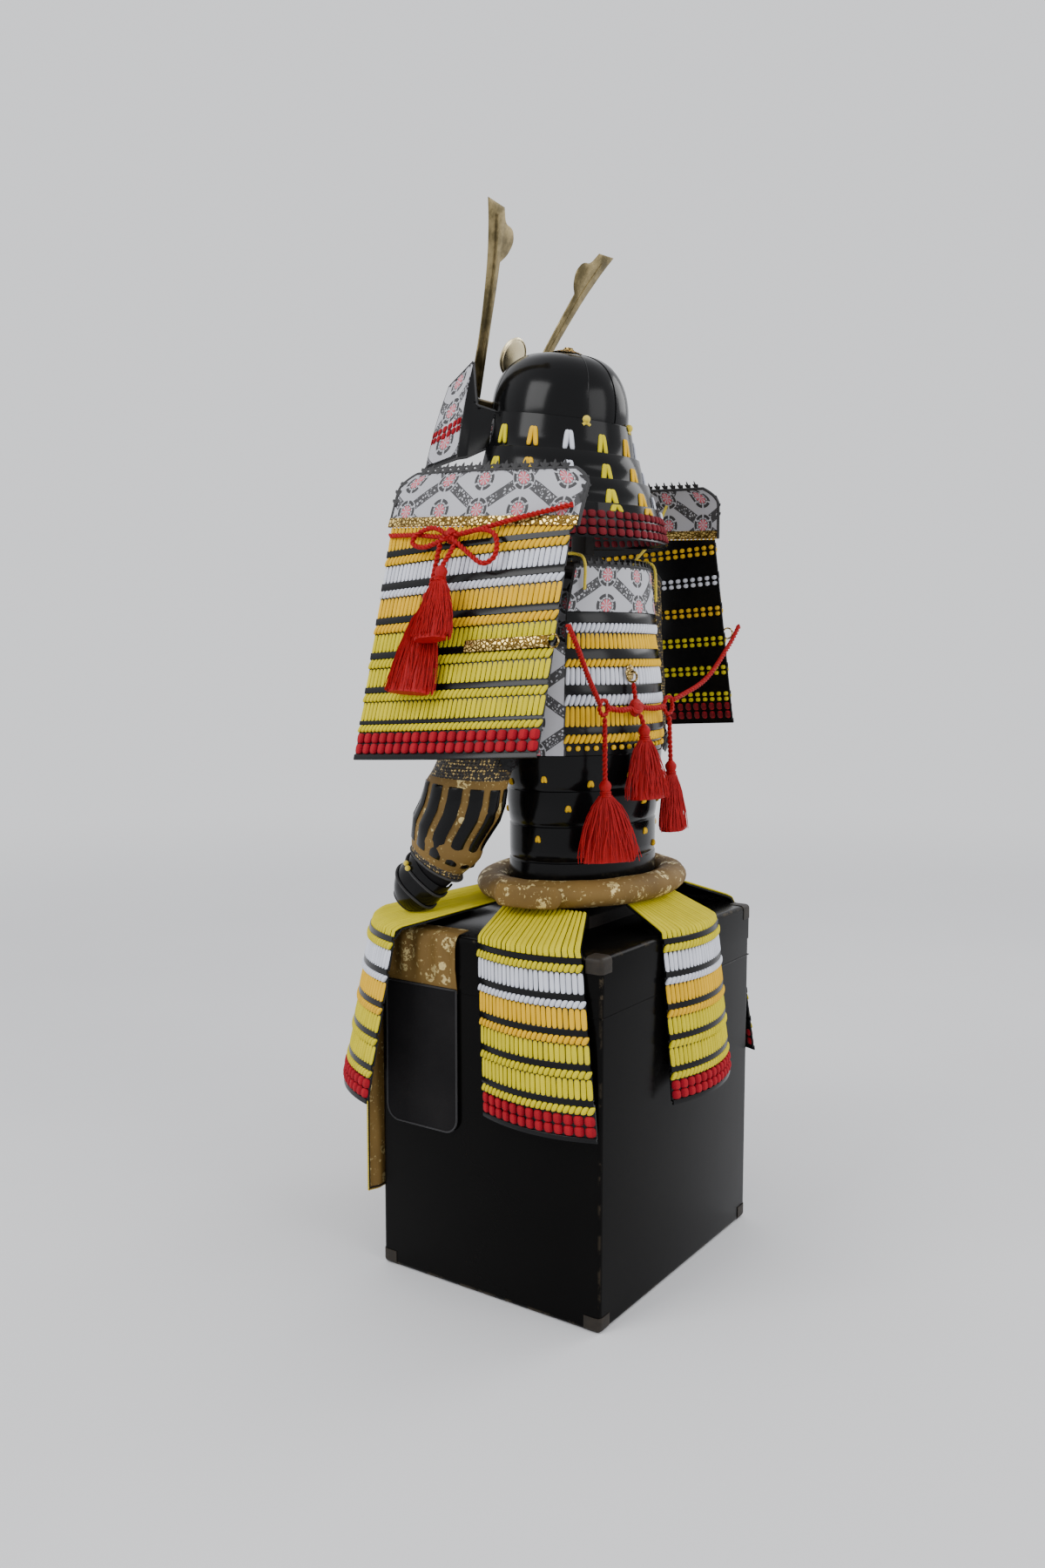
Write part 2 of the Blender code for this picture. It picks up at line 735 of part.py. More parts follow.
def build_sleeves():
    top = SLEEVE_SECTIONS[0][0]
    bottom = SLEEVE_SECTIONS[-1][0]
    for side, sign in (("left", 1.0), ("right", -1.0)):
        def at(u, s, out):
            x, y, thick, wide = table_at(SLEEVE_SECTIONS, s)
            angle = u * math.tau
            aside = (thick + out) * math.cos(angle)
            along = (wide + out) * math.sin(angle)
            wrist = WRIST_SLANT * clamp((0.76 - s) / 0.14, 0.0, 1.0)
            shoulder = SHOULDER_SLANT * clamp((s - 0.95) / 0.09, 0.0, 1.0)
            return Vector((sign * (x + aside), y + along, s - wrist * along - shoulder * aside))

        columns = 14
        rows = [(z, 0.0, columns, 0.0) for z in (top, 0.95, 0.86, 0.79, 0.772)]
        rows += [(z, 0.0, columns, SPLINT_OUT) for z in (0.768, 0.71, 0.645)]
        rows += [(0.640, 0.0, columns, 0.0), (bottom, 0.0, columns, 0.0)]
        wall("sleeve_" + side, "cloth", at, rows, even_rows(top, bottom, 5), SLEEVE_WALL,
             columns, closed=True)
        build_hand(side, sign)


HAND_START = Vector((0.2048, -0.1036, 0.6174))
HAND_TIP = Vector((0.2025, -0.1665, 0.5565))
HAND_ARC = 230.0


def build_hand(side, sign):
    """A bent plate over the back of the hand, open towards the palm."""
    outward = Vector((1.0, 0.0, 0.0))
    over = (HAND_TIP - HAND_START).normalized().cross(outward).normalized()

    def at(u, s, out):
        angle = u * math.radians(HAND_ARC)
        round_off = 1.0 - 0.45 * clamp((s - 0.55) / 0.45, 0.0, 1.0) ** 2
        spot = HAND_START.lerp(HAND_TIP, s)
        spot = (spot + outward * (0.030 * round_off + out) * math.cos(angle)
                + over * (0.039 * round_off + out) * math.sin(angle))
        return Vector((sign * spot.x, spot.y, spot.z))

    stops = even_rows(0.105, 1.0, 4)
    rows = [(s, 0.0, 10, 0.0) for s in stops]
    wall("hand_guard_" + side, "plate", at, rows, stops, 0.0018, 10)


# Thigh apron


def build_apron():
    for side, sign in (("left", 1.0), ("right", -1.0)):
        front_path = [Vector(p) for p in ((0.130, 0.5290), (0.180, 0.5245), (0.1895, 0.5232),
                                          (0.1947, 0.5160), (0.1953, 0.0900))]

        def front(u, s, out):
            spot, way = blended_frame(front_path, s, 0.008)
            x = lerp(0.012, lerp(0.198, 0.226, clamp((s - 0.055) / 0.03, 0.0, 1.0)), u + 0.5)
            flare = 0.016 * clamp(u * 4.0 - 1.0, 0.0, 1.0) * clamp((s - 0.10) / 0.15, 0.0, 1.0)
            folds = 0.0022 * (1.0 + math.cos((u + 0.5) * 5.0 * math.tau))
            folds *= clamp((s - 0.08) / 0.10, 0.0, 1.0)
            point = clamp((s - 0.40) / 0.10, 0.0, 1.0) * 0.020 * (u + 0.5)
            return Vector((sign * (x + flare * 1.1), -(spot.x + way.x * out + flare * 0.4 + folds),
                           spot.y + way.y * out - point))

        columns = 14
        rows = [(s, 0.0, columns, 0.0) for s in (0.0, 0.050, 0.061, 0.070, 0.13, 0.46)]
        wall("apron_front_" + side, "brocade", front, rows, [row[0] for row in rows], 0.0018,
             columns)

        side_path = [Vector(p) for p in ((0.2035, 0.5250), (0.218, 0.5240), (0.2280, 0.5232),
                                         (0.2328, 0.5160), (0.2333, 0.2240))]

        def flank(u, s, out):
            spot, way = blended_frame(side_path, s, 0.008)
            y = lerp(-0.176, -0.047, u + 0.5)
            folds = 0.0024 * (1.0 + math.cos((u + 0.5) * 4.0 * math.tau))
            folds *= 1.0 - clamp((s - 0.075) / 0.03, 0.0, 1.0)
            folds *= clamp((s - 0.025) / 0.02, 0.0, 1.0)
            return Vector((sign * (spot.x + way.x * out + folds), y, spot.y + way.y * out))

        columns = 10
        back = [0.0, 0.0145, 0.0255, 0.0350, 0.060, 0.105]
        rows = [(s, 0.0, columns, 0.0) for s in back]
        rows += [(0.105, 0.0015, columns, 0.0), (0.3180, 0.0015, columns, 0.0)]
        wall("apron_side_" + side, "cloth", flank, rows, back + [0.3180], 0.0016, columns)


# Helmet


def tilt(point):
    """Lean a helmet point back about the wearer's ear line."""
    pivot = Vector((0.0, HELMET_Y, BOWL_RIM_Z))
    turn = Matrix.Rotation(math.radians(-HELMET_TILT), 3, "X")
    return pivot + turn @ (Vector(point) - pivot)


def bowl_point(theta, rise, out):
    """A point on the bowl: rise runs from 0 at the rim to 1 at the crown."""
    lift = math.sin(rise * math.pi / 2)
    spread = math.cos(rise * math.pi / 2) ** 0.62
    angle = math.radians(theta)
    brow = 0.010 * max(0.0, -math.sin(angle)) * math.sin(rise * math.pi)
    return tilt(((BOWL_HALF_WIDTH * spread + out) * math.cos(angle),
                 HELMET_Y + (BOWL_HALF_DEPTH * spread + out + brow) * math.sin(angle),
                 BOWL_RIM_Z + (BOWL_HEIGHT + out) * lift))


def build_bowl():
    bm = bmesh.new()
    columns = 20
    skins = []
    for out in (0.0, -BOWL_WALL):
        loops = [[bm.verts.new(bowl_point(360.0 * i / columns, rise, out))
                  for i in range(columns)] for rise in (0.0, 0.20, 0.42, 0.62, 0.82)]
        crown = bm.verts.new(bowl_point(0.0, 1.0, out))
        for upper, lower in zip(loops, loops[1:]):
            stitch(bm, upper, lower, closed=True)
        for a, b in zip(loops[-1], loops[-1][1:] + loops[-1][:1]):
            bm.faces.new((a, b, crown))
        skins.append(loops)
    stitch(bm, skins[0][0], skins[1][0], closed=True)
    add_mesh("helmet_bowl", bm, "plate")


def build_neck_guard():
    for index, (top, bottom, half_top, half_bottom, rise) in enumerate(NECK_LAMES, start=1):
        last = index == len(NECK_LAMES)
        span = 360.0 - 2.0 * NECK_OPEN_HALF + (0.0 if last else 8.0)

        def at(u, s, out):
            half = lerp(half_top, half_bottom, (top - s) / (top - bottom)) + out
            angle = math.radians(90.0 + u * span)
            trim = NECK_SIDE_TRIM * (s - 1.086) / 0.162
            y = half * math.sin(angle)
            return Vector(((half - trim) * math.cos(angle), HELMET_Y + y, s - rise * y))

        columns = 18
        if last:
            rows = [(top, 0.002, columns, 0.0), (top - 0.010, 0.002, columns, 0.0)]
            step = 0.0122
            for i in range(3):
                high = top - 0.0110 - i * step
                rows += [(high - step * 0.5, 0.0016, columns * 2, 0.0036),
                         (high - step, 0.0016, columns, 0.0)]
            rows.append((bottom, 0.0020, columns, 0.0))
        else:
            rows = [(top, 0.0012, columns, 0.0), (bottom + 0.004, 0.0012, columns, 0.0),
                    (bottom + 0.002, 0.0030, columns, 0.0), (bottom, 0.0020, columns, 0.0)]
        wall("neck_lame_%d" % index, "plate", at, rows, even_rows(top, bottom, 2), 0.0012,
             columns)


def build_visor():
    """A curved peak under the bowl's front rim."""
    def at(u, s, out):
        angle = math.radians(-90.0 + u * 100.0)
        reach = lerp(0.99, 1.30, s)
        drop = 0.020 * s + 0.012 * s * s + 0.0015
        return tilt(((BOWL_HALF_WIDTH * reach) * math.cos(angle),
                     HELMET_Y + BOWL_HALF_DEPTH * reach * math.sin(angle),
                     BOWL_RIM_Z - drop + out))

    rows = [(s, 0.0012, 12, 0.0) for s in even_rows(0.0, 1.0, 2)]
    wall("helmet_visor", "plate", at, rows, even_rows(0.0, 1.0, 2), 0.0012, 12)


BLOWBACK_EDGES = (  # share across, then X, Y, height of the upper edge and of the lower edge
    (0.00, 0.0800, -0.0866, 1.2751, 0.0896, -0.0905, 1.2228),
    (0.30, 0.0960, -0.1090, 1.2840, 0.1200, -0.1110, 1.2060),
    (0.45, 0.0850, -0.1230, 1.3500, 0.1270, -0.1230, 1.2040),
    (1.00, 0.0720, -0.1780, 1.3220, 0.1300, -0.1780, 1.1920),
)


def build_blowbacks():
    """The neck guard's forward ends, turned up and out beside the face."""
    for side, sign in (("left", 1.0), ("right", -1.0)):
        def at(u, s, out):
            row = table_at(BLOWBACK_EDGES, u + 0.5)
            upper, lower = Vector(row[:3]), Vector(row[3:])
            way = Vector((0.93, 0.20, 0.30)).normalized()
            spot = upper.lerp(lower, s) + way * (out + 0.005 * math.sin(s * math.pi))
            return Vector((sign * spot.x, spot.y, spot.z))

        rows = [(s, 0.0012, 6, 0.0) for s in (0.0, 0.3, 0.58)]
        rows += [(0.58, 0.0030, 6, 0.0), (0.76, 0.0030, 6, 0.0), (0.76, 0.0012, 6, 0.0),
                 (1.0, 0.0012, 6, 0.0)]
        wall("blowback_" + side, "leather", at, rows, [0.0, 0.3, 0.58, 0.76, 1.0], 0.0012, 6)


def horn_spot(x, rise, out=0.0):
    lean = math.radians(HORN_LEAN)
    return Vector((x, HORN_PIVOT_Y + rise * math.sin(lean) - out * math.cos(lean),
                   HORN_PIVOT_Z + rise * math.cos(lean) + out * math.sin(lean)))


def build_horns():
    for side, sign in (("left", 1.0), ("right", -1.0)):
        bm = bmesh.new()
        faces = []
        for out in (HORN_THICK / 2, -HORN_THICK / 2):
            faces.append([bm.verts.new(horn_spot(sign * x, rise, out))
                          for x, rise in HORN_OUTLINE])
        bm.faces.new(faces[0])
        bm.faces.new(faces[1][::-1])
        stitch(bm, faces[0], faces[1], closed=True)
        add_mesh("horn_" + side, bm, "bronze")


def build_horn_holder():
    """A curved plate on the brow with two sockets, and the round disc that it carries."""
    def at(u, s, out):
        x = u * 0.150
        rise = lerp(0.0, -0.020, s)
        return horn_spot(x, rise - SEAM, out)

    rows = [(s, 0.0022, 10, 0.0) for s in (0.0, 0.5, 1.0)]
    item = wall("horn_holder", "bronze", at, rows, [0.0, 0.5, 1.0], 0.0022, 10)
    stem = wall("stem", "bronze", lambda u, s, out: horn_spot(u * 0.016, s, out),
                [(0.055, 0.0016, 1, 0.0), (-0.010, 0.0016, 1, 0.0)], [0.055, -0.010], 0.0016, 1)
    disc = primitive("disc", "gilt", "disc", (0.0300, 0.0285, 0.006), horn_spot(0.0, 0.072),
                     turn=(90.0 - HORN_LEAN, 0.0, 0.0), segments=24)
    boss = primitive("boss", "bronze", "disc", (0.0050, 0.0050, 0.0060),
                     horn_spot(0.0, 0.030, -0.0036), turn=(90.0 - HORN_LEAN, 0.0, 0.0), segments=10)
    join(item, [stem, disc, boss])


def build_crown():
    top = bowl_point(0.0, 1.0, 0.0)
    lift = Vector((0.0, 0.0, 0.0024))
    item = primitive("crown_ornament", "gilt", "disc", (0.0240, 0.0200, 0.004), top + lift,
                     turn=(-HELMET_TILT, 0.0, 0.0), segments=16)
    boss = primitive("boss", "gilt", "disc", (0.0120, 0.0080, 0.009), top + lift
                     + Vector((0.0, 0.0, 0.004)), turn=(-HELMET_TILT, 0.0, 0.0), segments=12)
    join(item, [boss])


# Cords, knots and tassels


def build_tassel(name, start, head, bottom, half_width, half_depth, facing):
    """A tail of cord, a bound head and four-sided strands that hang from the skirt's root."""
    start, head, bottom = Vector(start), Vector(head), Vector(bottom)
    way = (bottom - head).normalized()
    tail = (head - start).normalized()
    angle = math.radians(facing)
    flat = Vector((math.cos(angle), math.sin(angle), 0.0))
    side = way.cross(flat).normalized()
    flat = side.cross(way).normalized()
    squash = 0.75
    profile = [(start, CORD_RADIUS), (head - tail * 0.004, CORD_RADIUS)]
    for drop, radius in ((0.004, 0.0080), (0.012, 0.0088), (0.018, 0.0066), (0.026, 0.0120)):
        profile.append((head + way * drop, radius))
    bm = bmesh.new()
    loops = []
    for centre, radius in profile:
        loops.append([bm.verts.new(centre + side * radius * math.cos(math.tau * k / TASSEL_SIDES)
                                   + flat * radius * squash
                                   * math.sin(math.tau * k / TASSEL_SIDES))
                      for k in range(TASSEL_SIDES)])
    bm.faces.new(loops[0])
    for upper, lower in zip(loops, loops[1:]):
        stitch(bm, upper, lower, closed=True)
    root = profile[-1][0]
    inner = []
    for share in (0.58, 0.20):
        inner.append([bm.verts.new(root + (v.co - root) * share) for v in loops[-1]])
    stitch(bm, loops[-1], inner[0], closed=True)
    stitch(bm, inner[0], inner[1], closed=True)
    roots = list(bm.faces)[-2 * TASSEL_SIDES:]
    bm.faces.new(inner[1][::-1])
    bmesh.ops.recalc_face_normals(bm, faces=bm.faces)
    bmesh.ops.inset_individual(bm, faces=roots, thickness=0.0005, use_even_offset=True)
    length = (bottom - root).length
    root_radius = profile[-1][1]
    for face in bmesh.ops.extrude_discrete_faces(bm, faces=roots)["faces"]:
        middle = face.calc_center_median()
        away = middle - root
        across = away.dot(side) / root_radius
        deep = away.dot(flat) / (root_radius * squash)
        end = root + way * length + side * across * half_width + flat * deep * half_depth
        for vert in face.verts:
            vert.co = end + (vert.co - middle) * STRAND_TAPER * 2.0
    add_mesh(name, bm, "red")


KNOT_CENTRE = (0.0400, 0.1330, 0.8430)
KNOT_LEFT = (0.1220, 0.1270, 0.8450)
KNOT_RIGHT = (-0.0520, 0.1350, 0.8430)
BRACKET = (0.0420, 0.8930)


def build_back_cords():
    x, z = BRACKET
    half_width, half_depth = table_at(TORSO_SECTIONS, z)
    y = TORSO_Y + half_depth * math.sqrt(1.0 - (x / half_width) ** 2) + BRAID_OUT + 0.0022
    bracket = primitive("cord_bracket", "gilt", "disc", (0.0120, 0.0110, 0.003), (x, y, z),
                        turn=(90.0, 0.0, -10.0), segments=8)
    ring = primitive("ring", "gilt", "ring", (0.0075, 0.0016), (x, y + 0.0040, z - 0.0060),
                     turn=(0.0, 90.0, 0.0), segments=10)
    join(bracket, [ring])
    centre, left, right = Vector(KNOT_CENTRE), Vector(KNOT_LEFT), Vector(KNOT_RIGHT)
    knot = as_mesh(tube("back_knot", "red", smooth_route((left, (0.080, 0.132, 0.8405), centre,
                                                          (-0.006, 0.136, 0.8405), right), 2),
                        0.0050, 1))
    extras = [primitive("ball", "red", "ball", (0.0130, 0.0075, 0.0110), centre, segments=10)]
    stem_top = Vector((x, y + 0.0052, z - 0.0154))
    extras.append(as_mesh(tube("stem", "red", [stem_top, centre], 0.0036, 1)))
    for spot, radius in ((left, 0.0110), (right, 0.0135)):
        extras.append(primitive("loop", "red", "ring", (radius, 0.0034), spot,
                                turn=(90.0, 0.0, 0.0), segments=12))
    join(knot, extras)
    ends = (  # name, guard's ring, hanging points on the way, knot end, its shift to the cord
        ("left", (0.2745, 0.1655, 0.9560), (0.236, 0.156, 0.926), (0.190, 0.143, 0.890), left,
         Vector((0.0132, 0.0014, 0.0063))),
        ("right", (-0.2745, 0.1440, 0.9650), (-0.238, 0.142, 0.930), (-0.160, 0.142, 0.880),
         right, Vector((-0.0151, 0.0, 0.0073))),
    )
    for side, ring_side, upper, middle, end, reach in ends:
        route = (ring_side, upper, middle, end + reach)
        tube("guard_cord_" + side, "red", smooth_route(route, 4), CORD_RADIUS)
    build_tassel("back_tassel_left", left + Vector((0.0, 0.0020, -0.0143)), (0.122, 0.130, 0.744),
                 (0.124, 0.138, 0.630), 0.043, 0.020, 40.0)
    build_tassel("back_tassel_middle", centre + Vector((0.0, 0.0060, -0.0097)),
                 (0.041, 0.146, 0.818), (0.041, 0.153, 0.712), 0.034, 0.022, 70.0)
    build_tassel("back_tassel_right", right + Vector((0.0, 0.0020, -0.0168)),
                 (-0.054, 0.139, 0.760), (-0.056, 0.143, 0.655), 0.030, 0.020, 100.0)


BOW_S = 0.096
BOW_OUT = 0.0125


def build_bows():
    for side, sign, shift, lift in GUARD_SIDES:
        frame = guard_frame(sign, shift, lift)

        def spot(y, s, out):
            return frame(y / GUARD_WIDTH, s, out, GUARD_WIDTH, 0.0)

        middle = spot(-0.020, BOW_S, BOW_OUT)
        route = [spot(y, s, out) for y, s, out in ((0.150, 0.060, 0.0058), (0.080, 0.075, 0.0090),
                                                   (-0.020, BOW_S, BOW_OUT),
                                                   (-0.090, 0.090, 0.0100),
                                                   (-0.150, 0.086, 0.0062))]
        bow = as_mesh(tube("bow_" + side, "red", smooth_route(route, 2), CORD_RADIUS, 1))
        extras = [primitive("ball", "red", "ball", (0.0075, 0.0105, 0.0100), middle, segments=10)]
        loops = (
            ((-0.024, 0.096), (-0.055, 0.084), (-0.082, 0.092), (-0.085, 0.106),
             (-0.060, 0.112), (-0.024, 0.102)),
            ((-0.014, 0.096), (0.020, 0.094), (0.034, 0.110), (0.034, 0.135),
             (0.018, 0.136), (0.004, 0.116), (-0.014, 0.102)),
        )
        for loop in loops:
            points = [spot(y, s, 0.0150 + 0.0010 * i) for i, (y, s) in enumerate(loop)]
            extras.append(as_mesh(tube("loop", "red", smooth_route(points, 2), CORD_RADIUS, 0)))
        join(bow, extras)
        build_tassel("bow_tassel_front_" + side, spot(-0.033, 0.1095, 0.0195),
                     spot(-0.040, 0.176, 0.0170), spot(-0.044, 0.318, 0.0240), 0.034, 0.011,
                     0.0 if sign > 0 else 180.0)
        build_tassel("bow_tassel_back_" + side, spot(-0.0046, 0.1142, 0.0236),
                     spot(-0.012, 0.146, 0.0330), spot(-0.004, 0.250, 0.0440), 0.026, 0.010,
                     0.0 if sign > 0 else 180.0)


TIES = (  # name, points from the guard plate over the sleeve's rim and the strap to its tail
    ("left", ((0.2203, 0.060, 1.1405), (0.182, 0.040, 1.1000), (0.141, 0.022, 1.0614),
              (0.1010, 0.062, 1.0608), (0.1015, 0.082, 1.0500), (0.104, 0.084, 1.0100))),
    ("right", ((-0.2203, 0.038, 1.1575), (-0.182, 0.034, 1.1020), (-0.141, 0.022, 1.0614),
               (-0.1010, 0.062, 1.0602), (-0.1015, 0.082, 1.0500), (-0.104, 0.084, 1.0000))),
)


def build_ties():
    for side, points in TIES:
        tube("guard_tie_" + side, "yellow", smooth_route(points, 3), 0.0024, 1)


def build():
    global parts
    clear_scene()
    parts = bpy.data.collections.new("samurai_armour")
    bpy.context.scene.collection.children.link(parts)
    build_box()
    build_stand()
    build_waist()
    build_front()
    build_back()
    build_straps()
    build_belt()
    for row in SKIRT_PANELS:
        build_skirt_panel(*row)
    build_guards()
    build_sleeves()
    build_apron()
    build_bowl()
    build_neck_guard()
    build_visor()
    build_blowbacks()
    build_horns()
    build_horn_holder()
    build_crown()
    build_back_cords()
    build_bows()
    build_ties()


build()
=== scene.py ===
# Samurai armour on its storage box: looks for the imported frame. Metres, +Z up, facing -Y.
import math
import random

import bmesh
import bpy
from mathutils import Matrix, Vector


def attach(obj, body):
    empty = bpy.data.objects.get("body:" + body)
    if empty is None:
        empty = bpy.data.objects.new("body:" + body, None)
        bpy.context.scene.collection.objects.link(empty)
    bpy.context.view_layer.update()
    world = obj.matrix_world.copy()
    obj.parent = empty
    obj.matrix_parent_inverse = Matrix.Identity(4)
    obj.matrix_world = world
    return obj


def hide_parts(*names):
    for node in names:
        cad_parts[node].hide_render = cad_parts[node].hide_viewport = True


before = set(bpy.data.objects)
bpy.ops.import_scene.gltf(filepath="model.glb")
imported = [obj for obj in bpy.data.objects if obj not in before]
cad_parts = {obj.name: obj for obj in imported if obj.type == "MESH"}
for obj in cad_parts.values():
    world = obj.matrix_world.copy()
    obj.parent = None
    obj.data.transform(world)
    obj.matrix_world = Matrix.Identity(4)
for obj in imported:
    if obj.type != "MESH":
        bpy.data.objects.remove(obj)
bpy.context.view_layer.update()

# Camera, floor and light.
# The camera stands behind the armour's left shoulder, where the photograph was taken from. Three
# large lamps and an even pale sky give soft light, and the floor fades into the sky.
VIEW_YAW = math.radians(-145.47)
VIEW_PITCH = math.radians(-5.74)
camera = bpy.data.objects.new("camera", bpy.data.cameras.new("camera"))
camera.data.sensor_width = 36.0
camera.data.lens = 29.68
camera.location = (1.664, 1.0514, 0.9194)
view_way = Vector((math.cos(VIEW_PITCH) * math.cos(VIEW_YAW),
                   math.cos(VIEW_PITCH) * math.sin(VIEW_YAW), math.sin(VIEW_PITCH)))
camera.rotation_euler = view_way.to_track_quat("-Z", "Y").to_euler()
bpy.context.scene.collection.objects.link(camera)
bpy.context.scene.camera = camera


def lamp(name, spot, target, size, power):
    light = bpy.data.lights.new(name, "AREA")
    light.size = size
    light.energy = power
    item = bpy.data.objects.new(name, light)
    item.location = spot
    item.rotation_euler = (Vector(target) - Vector(spot)).to_track_quat("-Z", "Y").to_euler()
    bpy.context.scene.collection.objects.link(item)


for name, spot, aim, size, power in (("key", (2.6, -0.9, 2.7), 0.8, 1.6, 58.0),
                                     ("fill", (0.3, 3.2, 2.2), 0.8, 2.0, 44.0),
                                     ("rim", (-2.4, 1.2, 2.4), 1.0, 1.4, 26.0)):
    lamp(name, spot, (0.0, 0.0, aim), size, power)
world = bpy.data.worlds.new("studio")
world.use_nodes = True
SKY, SKY_STRENGTH = (0.88, 0.89, 0.92), 1.20
FLOOR_REACH, FADE_START, FADE_END = 14.0, 1.4, 6.0
world.node_tree.nodes["Background"].inputs["Color"].default_value = SKY + (1.0,)
world.node_tree.nodes["Background"].inputs["Strength"].default_value = SKY_STRENGTH
bpy.context.scene.world = world


class Wire:
    """A shader socket that can be written in sums."""

    def __init__(self, finish, socket):
        self.finish = finish
        self.socket = socket

    def sum(self, operation, a, b=0.0):
        return self.finish.node("ShaderNodeMath", {"operation": operation}, {0: a, 1: b})

    def __add__(self, other):
        return self.sum("ADD", self, other)

    def __sub__(self, other):
        return self.sum("SUBTRACT", self, other)

    def __rsub__(self, other):
        return self.sum("SUBTRACT", other, self)

    def __mul__(self, other):
        return self.sum("MULTIPLY", self, other)

    def __truediv__(self, other):
        return self.sum("DIVIDE", self, other)

    def __gt__(self, other):
        return self.sum("GREATER_THAN", self, other)

    def __lt__(self, other):
        return self.sum("LESS_THAN", self, other)

    def __abs__(self):
        return self.sum("ABSOLUTE", self)

    __radd__ = __add__
    __rmul__ = __mul__

    def of(self, operation, other=0.0):
        return self.sum(operation, self, other)

    def over(self, low, high):
        """0 below low, 1 above high, and a smooth rise between them."""
        return self.finish.node("ShaderNodeMapRange", {"interpolation_type": "SMOOTHSTEP"},
                                {0: self, 1: low, 2: high})


class Finish:
    """A material: node() adds any node with its settings and the values or links of its sockets."""

    def __init__(self, name, **sockets):
        self.material = bpy.data.materials.new(name)
        self.material.use_nodes = True
        self.tree = self.material.node_tree
        self.shader = self.tree.nodes["Principled BSDF"]
        for socket, value in sockets.items():
            self.put(socket.replace("_", " "), value)

    def node(self, kind, settings=None, values=None, out=0):
        made = self.tree.nodes.new(kind)
        for key, value in (settings or {}).items():
            setattr(made, key, value)
        for key, value in (values or {}).items():
            self.fill(made.inputs[key], value)
        return Wire(self, made.outputs[out])

    def fill(self, socket, value):
        if isinstance(value, Wire):
            self.tree.links.new(value.socket, socket)
        elif socket.type == "RGBA" and len(value) == 3:
            socket.default_value = (*value, 1.0)
        else:
            socket.default_value = value

    def put(self, socket, value):
        self.fill(self.shader.inputs[socket], value)

    def place(self):
        return self.node("ShaderNodeTexCoord", out="Object")

    def mark(self, name, out="Vector"):
        return self.node("ShaderNodeAttribute", {"attribute_name": name}, out=out)

    def parts(self, vector):
        split = self.node("ShaderNodeSeparateXYZ", None, {0: vector}).socket.node
        return [Wire(self, split.outputs[i]) for i in range(3)]

    def noise(self, scale, detail=2.0, where=None, rough=0.5):
        return self.node("ShaderNodeTexNoise", None, {
            "Vector": where or self.place(), "Scale": scale, "Detail": detail, "Roughness": rough})

    def mix(self, factor, a, b):
        made = self.tree.nodes.new("ShaderNodeMix")
        made.data_type = "RGBA"
        self.fill(made.inputs["Factor"], factor)
        self.fill(made.inputs[6], a)
        self.fill(made.inputs[7], b)
        return Wire(self, made.outputs[2])

    def dye(self, pattern, low, high):
        """The base colour: low where the pattern is 0, high where it is 1."""
        self.put("Base Color", self.mix(pattern, low, high))

    def bump(self, height, distance, strength=1.0):
        self.put("Normal", self.node("ShaderNodeBump", None, {
            "Height": height, "Distance": distance, "Strength": strength}))


paper = Finish("floor_paper", Roughness=0.9)
paper.dye(paper.noise(2.0), (0.68, 0.68, 0.69), (0.72, 0.72, 0.73))
distance = paper.node("ShaderNodeVectorMath", {"operation": "LENGTH"}, {0: paper.place()},
                      out="Value")
far_light = paper.node("ShaderNodeEmission", None, {"Color": SKY, "Strength": SKY_STRENGTH})
paper_shader = Wire(paper, paper.shader.outputs[0])
fade = paper.node("ShaderNodeMixShader", None, {
    0: distance.over(FADE_START, FADE_END), 1: paper_shader, 2: far_light})
paper.tree.links.new(fade.socket, paper.tree.nodes["Material Output"].inputs["Surface"])
bm = bmesh.new()
bmesh.ops.create_grid(bm, x_segments=1, y_segments=1, size=FLOOR_REACH)
floor_mesh = bpy.data.meshes.new("floor")
bm.to_mesh(floor_mesh)
bm.free()
floor = bpy.data.objects.new("floor", floor_mesh)
floor.data.materials.append(paper.material)
bpy.context.scene.collection.objects.link(floor)

# Red silk cords.
# Two stout cords run from the knot on the back to the shoulder guards' rings, and a bow is tied
# on each guard. Each is two strands laid round each other, about 8 mm thick in all.
CORD_RADIUS = 0.0038
HARD_SMOOTH, CLOTH_SMOOTH, CORD_SMOOTH = 42.0, 70.0, 80.0
MERGE = 0.00002
RIGHT, ASIDE, UP = Vector((1.0, 0.0, 0.0)), Vector((0.0, 1.0, 0.0)), Vector((0.0, 0.0, 1.0))
ORANGE = (0.80, 0.470, 0.012)
WHITE = (0.70, 0.72, 0.80)
LEMON = (0.66, 0.560, 0.012)
KNOT_RED = (0.36, 0.006, 0.014)
chance = random.Random(11)

silk = Finish("red_silk", Roughness=0.6, IOR=1.3)
fibre = silk.noise(420.0, 3.0, silk.node("ShaderNodeMapping", None, {
    "Vector": silk.place(), "Scale": (1.0, 1.0, 0.25)}))
silk.dye(fibre, (0.16, 0.0005, 0.001), (0.46, 0.002, 0.005))
silk.bump(fibre, 0.0006, 0.6)


def lerp(a, b, t):
    return a + (b - a) * t


def ramp(value, start, span):
    """0 before start, 1 a span further on, and even between."""
    return max(0.0, min(1.0, (value - start) / span))


def smooth_route(points, steps):
    """Points on a smooth curve through a route's own points."""
    route = [Vector(p) for p in points]
    padded = [route[0] * 2 - route[1]] + route + [route[-1] * 2 - route[-2]]
    out = []
    for a, b, c, d in zip(padded, padded[1:], padded[2:], padded[3:]):
        for i in range(steps):
            t = i / steps
            out.append(0.5 * (2 * b + (c - a) * t + (2 * a - 5 * b + 4 * c - d) * t ** 2
                              + (3 * b - a - 3 * c + d) * t ** 3))
    out.append(route[-1])
    return out


def route_length(route):
    return sum((b - a).length for a, b in zip(route, route[1:]))


